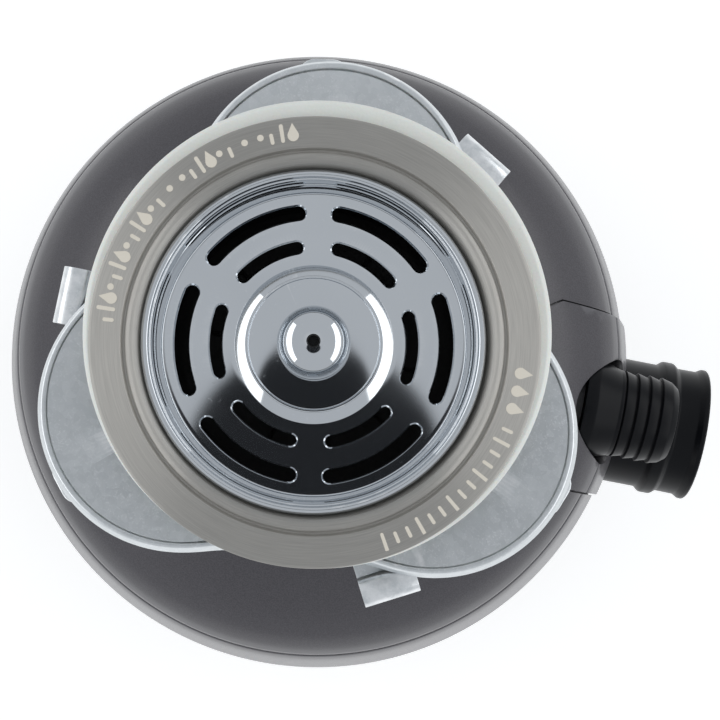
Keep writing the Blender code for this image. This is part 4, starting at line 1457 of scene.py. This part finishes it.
    def base(self, shop: Workshop) -> None:
        """Make the base with its recesses, terminal cover, screw, reset button and cord gland.

        Args:
            shop: the workshop that finishes the pieces.
        """
        corners = [(0, 0.0, 0), (84.0, 0.0, 1.5), (89.5, 1.2, 3.0), (93.2, 5.0, 3.0), (94.9, 12.2, 0.3),
                   (92.4, 12.2, 0.3), (90.8, 6.6, 1.0), (87.4, 3.4, 1.0), (48.0, 3.0, 0.5), (48.0, 43.6, 0.3),
                   (44.0, 43.6, 0.3), (44.0, 3.0, 0.5), (0, 3.0, 0)]
        bm = turned(rounded(corners, closed=False), ROUND_STEPS, closed=False)
        window = slab(box_outline((-30.3, -38.3), (30.3, -15.7), 4.3), -2.0, 1.6)
        bm = carved(bm, window, Cut.AWAY)
        bm = carved(bm, drill(5.4, -2, 6, centre=self.reset_at), Cut.AWAY)
        bm = carved(bm, drill(1.9, 1.0, 2.6, centre=self.terminal_screw_at), Cut.AWAY)
        grooves = []
        for radius in (66.0, 78.0):
            groove = [(radius - 0.6, -1), (radius + 0.6, -1), (radius + 0.4, 0.5), (radius - 0.4, 0.5)]
            grooves.append(turned(groove, ROUND_STEPS))
        bm = carved(bm, gathered(grooves), Cut.AWAY)
        shop.finish_piece("bottom_cover_fine", bm, BASE_PLASTIC, "disposer", ["bottom_cover"])

        plate = slab(box_outline((-30.0, -38.0), (30.0, -16.0), 4.0), 0.3, 1.3)
        plate = carved(softened(plate, 0.2), drill(1.9, -1, 4, centre=self.terminal_screw_at), Cut.AWAY)
        shop.finish_piece("terminal_cover_fine", plate, ZINC, "disposer", ["terminal_cover"])
        outline = [(0, 0.4), (1.2, 0.4), (1.5, 0.7), (1.5, 2.3), (0, 2.3)]
        screw = turned(outline, SMALL_STEPS, False, centre=self.terminal_screw_at)
        screw = carved(screw, cross(self.terminal_screw_at[:2], 0.0, 1.0, 2.0), Cut.AWAY)
        shop.finish_piece("terminal_screw_fine", screw, ZINC, "disposer", ["terminal_screw"])

        button = [(0, 1.25, 0), (3.6, 1.0, 0.8), (4.9, 2.2, 0.9), (5.0, 13.0, 0.5), (0, 13.0, 0)]
        bm = turned(rounded(button, closed=False), SMALL_STEPS, False, centre=self.reset_at)
        shop.finish_piece("reset_button_fine", bm, RED, "reset", ["reset_button"])

        gland = [(6.0, 88.0, 0.4), (12.5, 88.0, 0.5), (12.5, 91.0, 0.5), (8.9, 91.0, 0.4),
                 (8.9, 96.9, 0.2), (11.5, 96.9, 0.3), (11.3, 97.99, 0.5), (7.0, 97.99, 0.6), (6.0, 97.0, 0.4)]
        bm = turned(rounded(gland), SMALL_STEPS, direction=Direction.BACK,
                    centre=(0, 0, shop.top - self.gland_depth))
        shop.finish_piece("cord_gland_fine", bm, BLACK_RUBBER, "disposer", ["cord_gland"])


@dataclass
class Spigots:
    """Discharge tube and the barbed hose spigot above it."""

    outlet_depth: float = 125.0
    inlet_depth: float = 78.0

    def build(self, shop: Workshop) -> None:
        """Turn both spigots about their axes.

        Args:
            shop: the workshop that finishes the pieces.
        """
        tube = [(17.0, 80.9, 0.4), (23.0, 80.9, 0.4), (23.0, 83.9, 0.5), (20.0, 84.5, 0.6),
                (20.0, 107.7, 1.2), (21.4, 109.4, 1.4), (21.4, 112.6, 1.4), (20.0, 114.3, 1.2),
                (20.1, 120.5, 1.2),
                (21.1, 122.2, 0.8), (21.15, 123.2, 0.4), (20.7, 123.7, 0.3), (17.6, 123.7, 0.5),
                (17.0, 122.8, 0.5)]
        bm = turned(rounded(tube, steps=5), ROUND_STEPS, direction=Direction.OUT,
                    centre=(0, 0, shop.top - self.outlet_depth))
        shop.finish_piece("discharge_tube_fine", bm, BLACK_PLASTIC, "disposer", ["discharge_tube"])
        outline = [(8.5, 78.9, 0.3), (15.3, 78.9, 0.3), (15.3, 82.5, 2.5), (12.9, 89.4, 0.8),
                   (12.9, 90.4, 0.3)]
        for barb in (91.0, 94.6, 98.2, 101.8):
            outline += [(11.8, barb - 0.35, 0.12), (12.9, barb + 0.05, 0.18), (12.1, barb + 3.0, 0.3)]
        outline += [(11.8, 105.3, 0.4), (10.7, 106.8, 0.3), (9.0, 106.8, 0.4), (8.5, 106.2, 0.3)]
        bm = turned(rounded(outline, steps=3), ROUND_STEPS, direction=Direction.OUT,
                    centre=(0, 0, shop.top - self.inlet_depth))
        shop.finish_piece("hose_spigot_fine", bm, BLACK_PLASTIC, "disposer", ["dishwasher_inlet"])


@dataclass
class Innards:
    """Pieces inside the housing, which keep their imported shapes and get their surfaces."""

    surfaces: tuple[tuple[Finish, tuple[str, ...]], ...] = (
        (CHAMBER, ("grind_chamber",)),
        (MACHINED, ("shredder_ring", "turntable", "turntable_nut", "impeller_1", "impeller_2",
                    "impeller_pin_1", "impeller_pin_2", "shaft", "upper_bearing", "lower_bearing")),
        (CAST, ("upper_end_bell", "lower_end_bell", "rotor_fan")),
        (CORE, ("stator_core", "rotor_core")),
        (COPPER, ("winding_upper", "winding_lower")),
        (FOAM, ("insulation",)),
        (ZINC, ("discharge_clamp", "clamp_screw_1", "clamp_screw_2", "through_bolt_1", "through_bolt_2",
                "through_bolt_3", "through_bolt_4")),
        (BLACK_RUBBER, ("shaft_seal", "discharge_gasket")),
        (BLACK_PLASTIC, ("overload_protector",)),
    )

    def build(self, shop: Workshop, frame: dict) -> None:
        """Dress each node.

        Args:
            shop: the workshop that finishes the pieces.
            frame: the loaded frame.
        """
        for finish, nodes in self.surfaces:
            shop.dress(frame, finish, nodes)


# ---------------------------------------------------------------- studio

@dataclass
class Studio:
    """Camera, pale floor and soft lights, laid out in the viewing frame."""

    lens: float = 88.95
    camera_height: float = 450.0
    camera_at: Point = (4.0, -24.8)
    aim_at: Point = (11.4, -4.8)
    disc_at: Point = (-5.0, -45.0)
    disc_r: float = 74.0
    disc_rise: float = 470.0
    softbox_away: float = 500.0
    softbox_rise: float = 290.0
    softbox_size: Point = (1.0, 0.325)
    softbox_power: float = 1.5

    def build(self, shop: Workshop) -> None:
        """Make the camera, the floor, the cards and the lights.

        Args:
            shop: the workshop, which knows the flange's height.
        """
        self.camera(shop)
        self.floor()
        self.lights(shop)
        self.sky()

    @staticmethod
    def turned_point(point: Point) -> Vector:
        """Turn a point of the viewing frame into the model's frame, in metres.

        Args:
            point: millimetres in the viewing frame.

        Returns:
            The point at the floor's height.
        """
        spot = Matrix.Rotation(math.radians(VIEW_TURN), 2) @ Vector(point)
        return Vector((spot.x, spot.y, 0)) * MM

    def camera(self, shop: Workshop) -> None:
        """Place the camera over the flange, its up along the viewing frame's +Y.

        Args:
            shop: the workshop, which knows the flange's height.
        """
        spot = self.turned_point(self.camera_at) + Vector((0, 0, (shop.top + self.camera_height) * MM))
        aim = self.turned_point(self.aim_at) + Vector((0, 0, shop.top * MM))
        back = (spot - aim).normalized()
        right = self.turned_point((0.0, 1.0)).cross(back).normalized()
        up = back.cross(right)
        data = bpy.data.cameras.new("camera")
        data.lens = self.lens
        data.clip_start = 0.01
        obj = bpy.data.objects.new("camera", data)
        obj.matrix_world = Matrix.Translation(spot) @ Matrix((right, up, back)).transposed().to_4x4()
        bpy.context.collection.objects.link(obj)
        bpy.context.scene.camera = obj

    @staticmethod
    def plain(name: str, colour: Colour, roughness: float, glow: float = 0.0) -> bpy.types.Material:
        """Make a plain stage material.

        Args:
            name: the material's name.
            colour: its colour.
            roughness: its roughness.
            glow: how much light it gives.

        Returns:
            The material.
        """
        material = bpy.data.materials.new(name)
        material.use_nodes = True
        shader = material.node_tree.nodes["Principled BSDF"]
        shader.inputs["Base Color"].default_value = (*colour, 1.0)
        shader.inputs["Roughness"].default_value = roughness
        shader.inputs["Emission Color"].default_value = (*colour, 1.0)
        shader.inputs["Emission Strength"].default_value = glow
        return material

    def card(self, name: str, size: Point, matrix: Matrix, material: bpy.types.Material) -> bpy.types.Object:
        """Make a flat stage card of a size in metres.

        Args:
            name: the card's name.
            size: its sides.
            matrix: its place.
            material: its surface.

        Returns:
            The card.
        """
        bm = bmesh.new()
        bmesh.ops.create_grid(bm, x_segments=1, y_segments=1, size=0.5)
        bmesh.ops.scale(bm, vec=(size[0], size[1], 1), verts=bm.verts)
        bmesh.ops.transform(bm, matrix=matrix, verts=bm.verts)
        mesh = bpy.data.meshes.new(name)
        bm.to_mesh(mesh)
        bm.free()
        mesh.materials.append(material)
        obj = bpy.data.objects.new(name, mesh)
        bpy.context.collection.objects.link(obj)
        return obj

    def floor(self) -> None:
        """Lay the pale floor just under the base; seen from below it is clear."""
        lay = Matrix.Translation((0, 0, -0.0003))
        material = self.plain("floor_white", (0.93, 0.93, 0.925), 0.7, 0.45)
        tree = material.node_tree
        below = tree.nodes.new("ShaderNodeNewGeometry").outputs["Backfacing"]
        clear = GROUPS.math(tree, "SUBTRACT", 1.0, below)
        tree.links.new(clear, tree.nodes["Principled BSDF"].inputs["Alpha"])
        self.card("floor", (6.0, 6.0), lay, material)

    def lights(self, shop: Workshop) -> None:
        """Hang a long soft box on each side, and the dark disc overhead.

        Args:
            shop: the workshop, which knows the flange's height.
        """
        height = shop.top * MM
        for name, place in (("left", (-self.softbox_away, 0.0)), ("right", (self.softbox_away, 0.0))):
            data = bpy.data.lights.new(f"softbox_{name}", "AREA")
            data.shape = "RECTANGLE"
            data.size, data.size_y = self.softbox_size
            data.energy = self.softbox_power
            obj = bpy.data.objects.new(f"softbox_{name}", data)
            level = self.turned_point(place)
            face = (-level).to_track_quat("-Z", "Y").to_matrix().to_4x4()
            spot = level + Vector((0, 0, height + self.softbox_rise * MM))
            obj.matrix_world = Matrix.Translation(spot) @ face
            bpy.context.collection.objects.link(obj)
        self.dark_disc(height)

    def dark_disc(self, height: float) -> None:
        """Hang the disc that darkens the middle of the chrome, as a camera overhead does.

        Args:
            height: the flange's height in metres.
        """
        spot = self.turned_point(self.disc_at) + Vector((0, 0, height + self.disc_rise * MM))
        material = self.plain("disc_black", (0.0, 0.001, 0.003), 0.9)
        self.fade(material)
        size = 2 * self.disc_r * MM
        disc = self.card("dark_disc", (size, size), Matrix.Translation(spot), material)
        disc.visible_camera = False
        disc.visible_shadow = False
        disc.visible_diffuse = False

    @staticmethod
    def fade(material: bpy.types.Material) -> None:
        """Leave of a square card only a disc with a soft edge.

        Args:
            material: the card's material.
        """
        tree = material.node_tree
        centred = tree.nodes.new("ShaderNodeVectorMath")
        centred.operation = "MULTIPLY_ADD"
        tree.links.new(tree.nodes.new("ShaderNodeTexCoord").outputs["Generated"], centred.inputs[0])
        centred.inputs[1].default_value = (2.0, 2.0, 0.0)
        centred.inputs[2].default_value = (-1.0, -1.0, 0.0)
        ball = tree.nodes.new("ShaderNodeTexGradient")
        ball.gradient_type = "SPHERICAL"
        tree.links.new(centred.outputs[0], ball.inputs[0])
        edge = GROUPS.range(tree, ball.outputs["Fac"], 0.0, 0.08)
        tree.links.new(edge, tree.nodes["Principled BSDF"].inputs["Alpha"])

    @staticmethod
    def sky() -> None:
        """Light the scene evenly from all round."""
        world = bpy.data.worlds.new("studio")
        world.use_nodes = True
        background = world.node_tree.nodes["Background"]
        background.inputs["Color"].default_value = (0.93, 0.96, 1.0, 1.0)
        background.inputs["Strength"].default_value = 0.62
        bpy.context.scene.world = world
        bpy.context.scene.view_settings.view_transform = "Standard"


def main() -> None:
    """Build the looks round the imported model."""
    logging.basicConfig(level=logging.INFO, format="%(name)s: %(message)s")
    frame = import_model()
    shop = Workshop(top=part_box("sink_flange")[1].z / MM)
    Studio().build(shop)
    for assembly in (SinkFlange(), MountStack(), LockRing(), SplashBaffle(), Strainer(), Housing(),
                     Spigots()):
        assembly.build(shop)
    Innards().build(shop, frame)


if __name__ == "__main__":
    main()
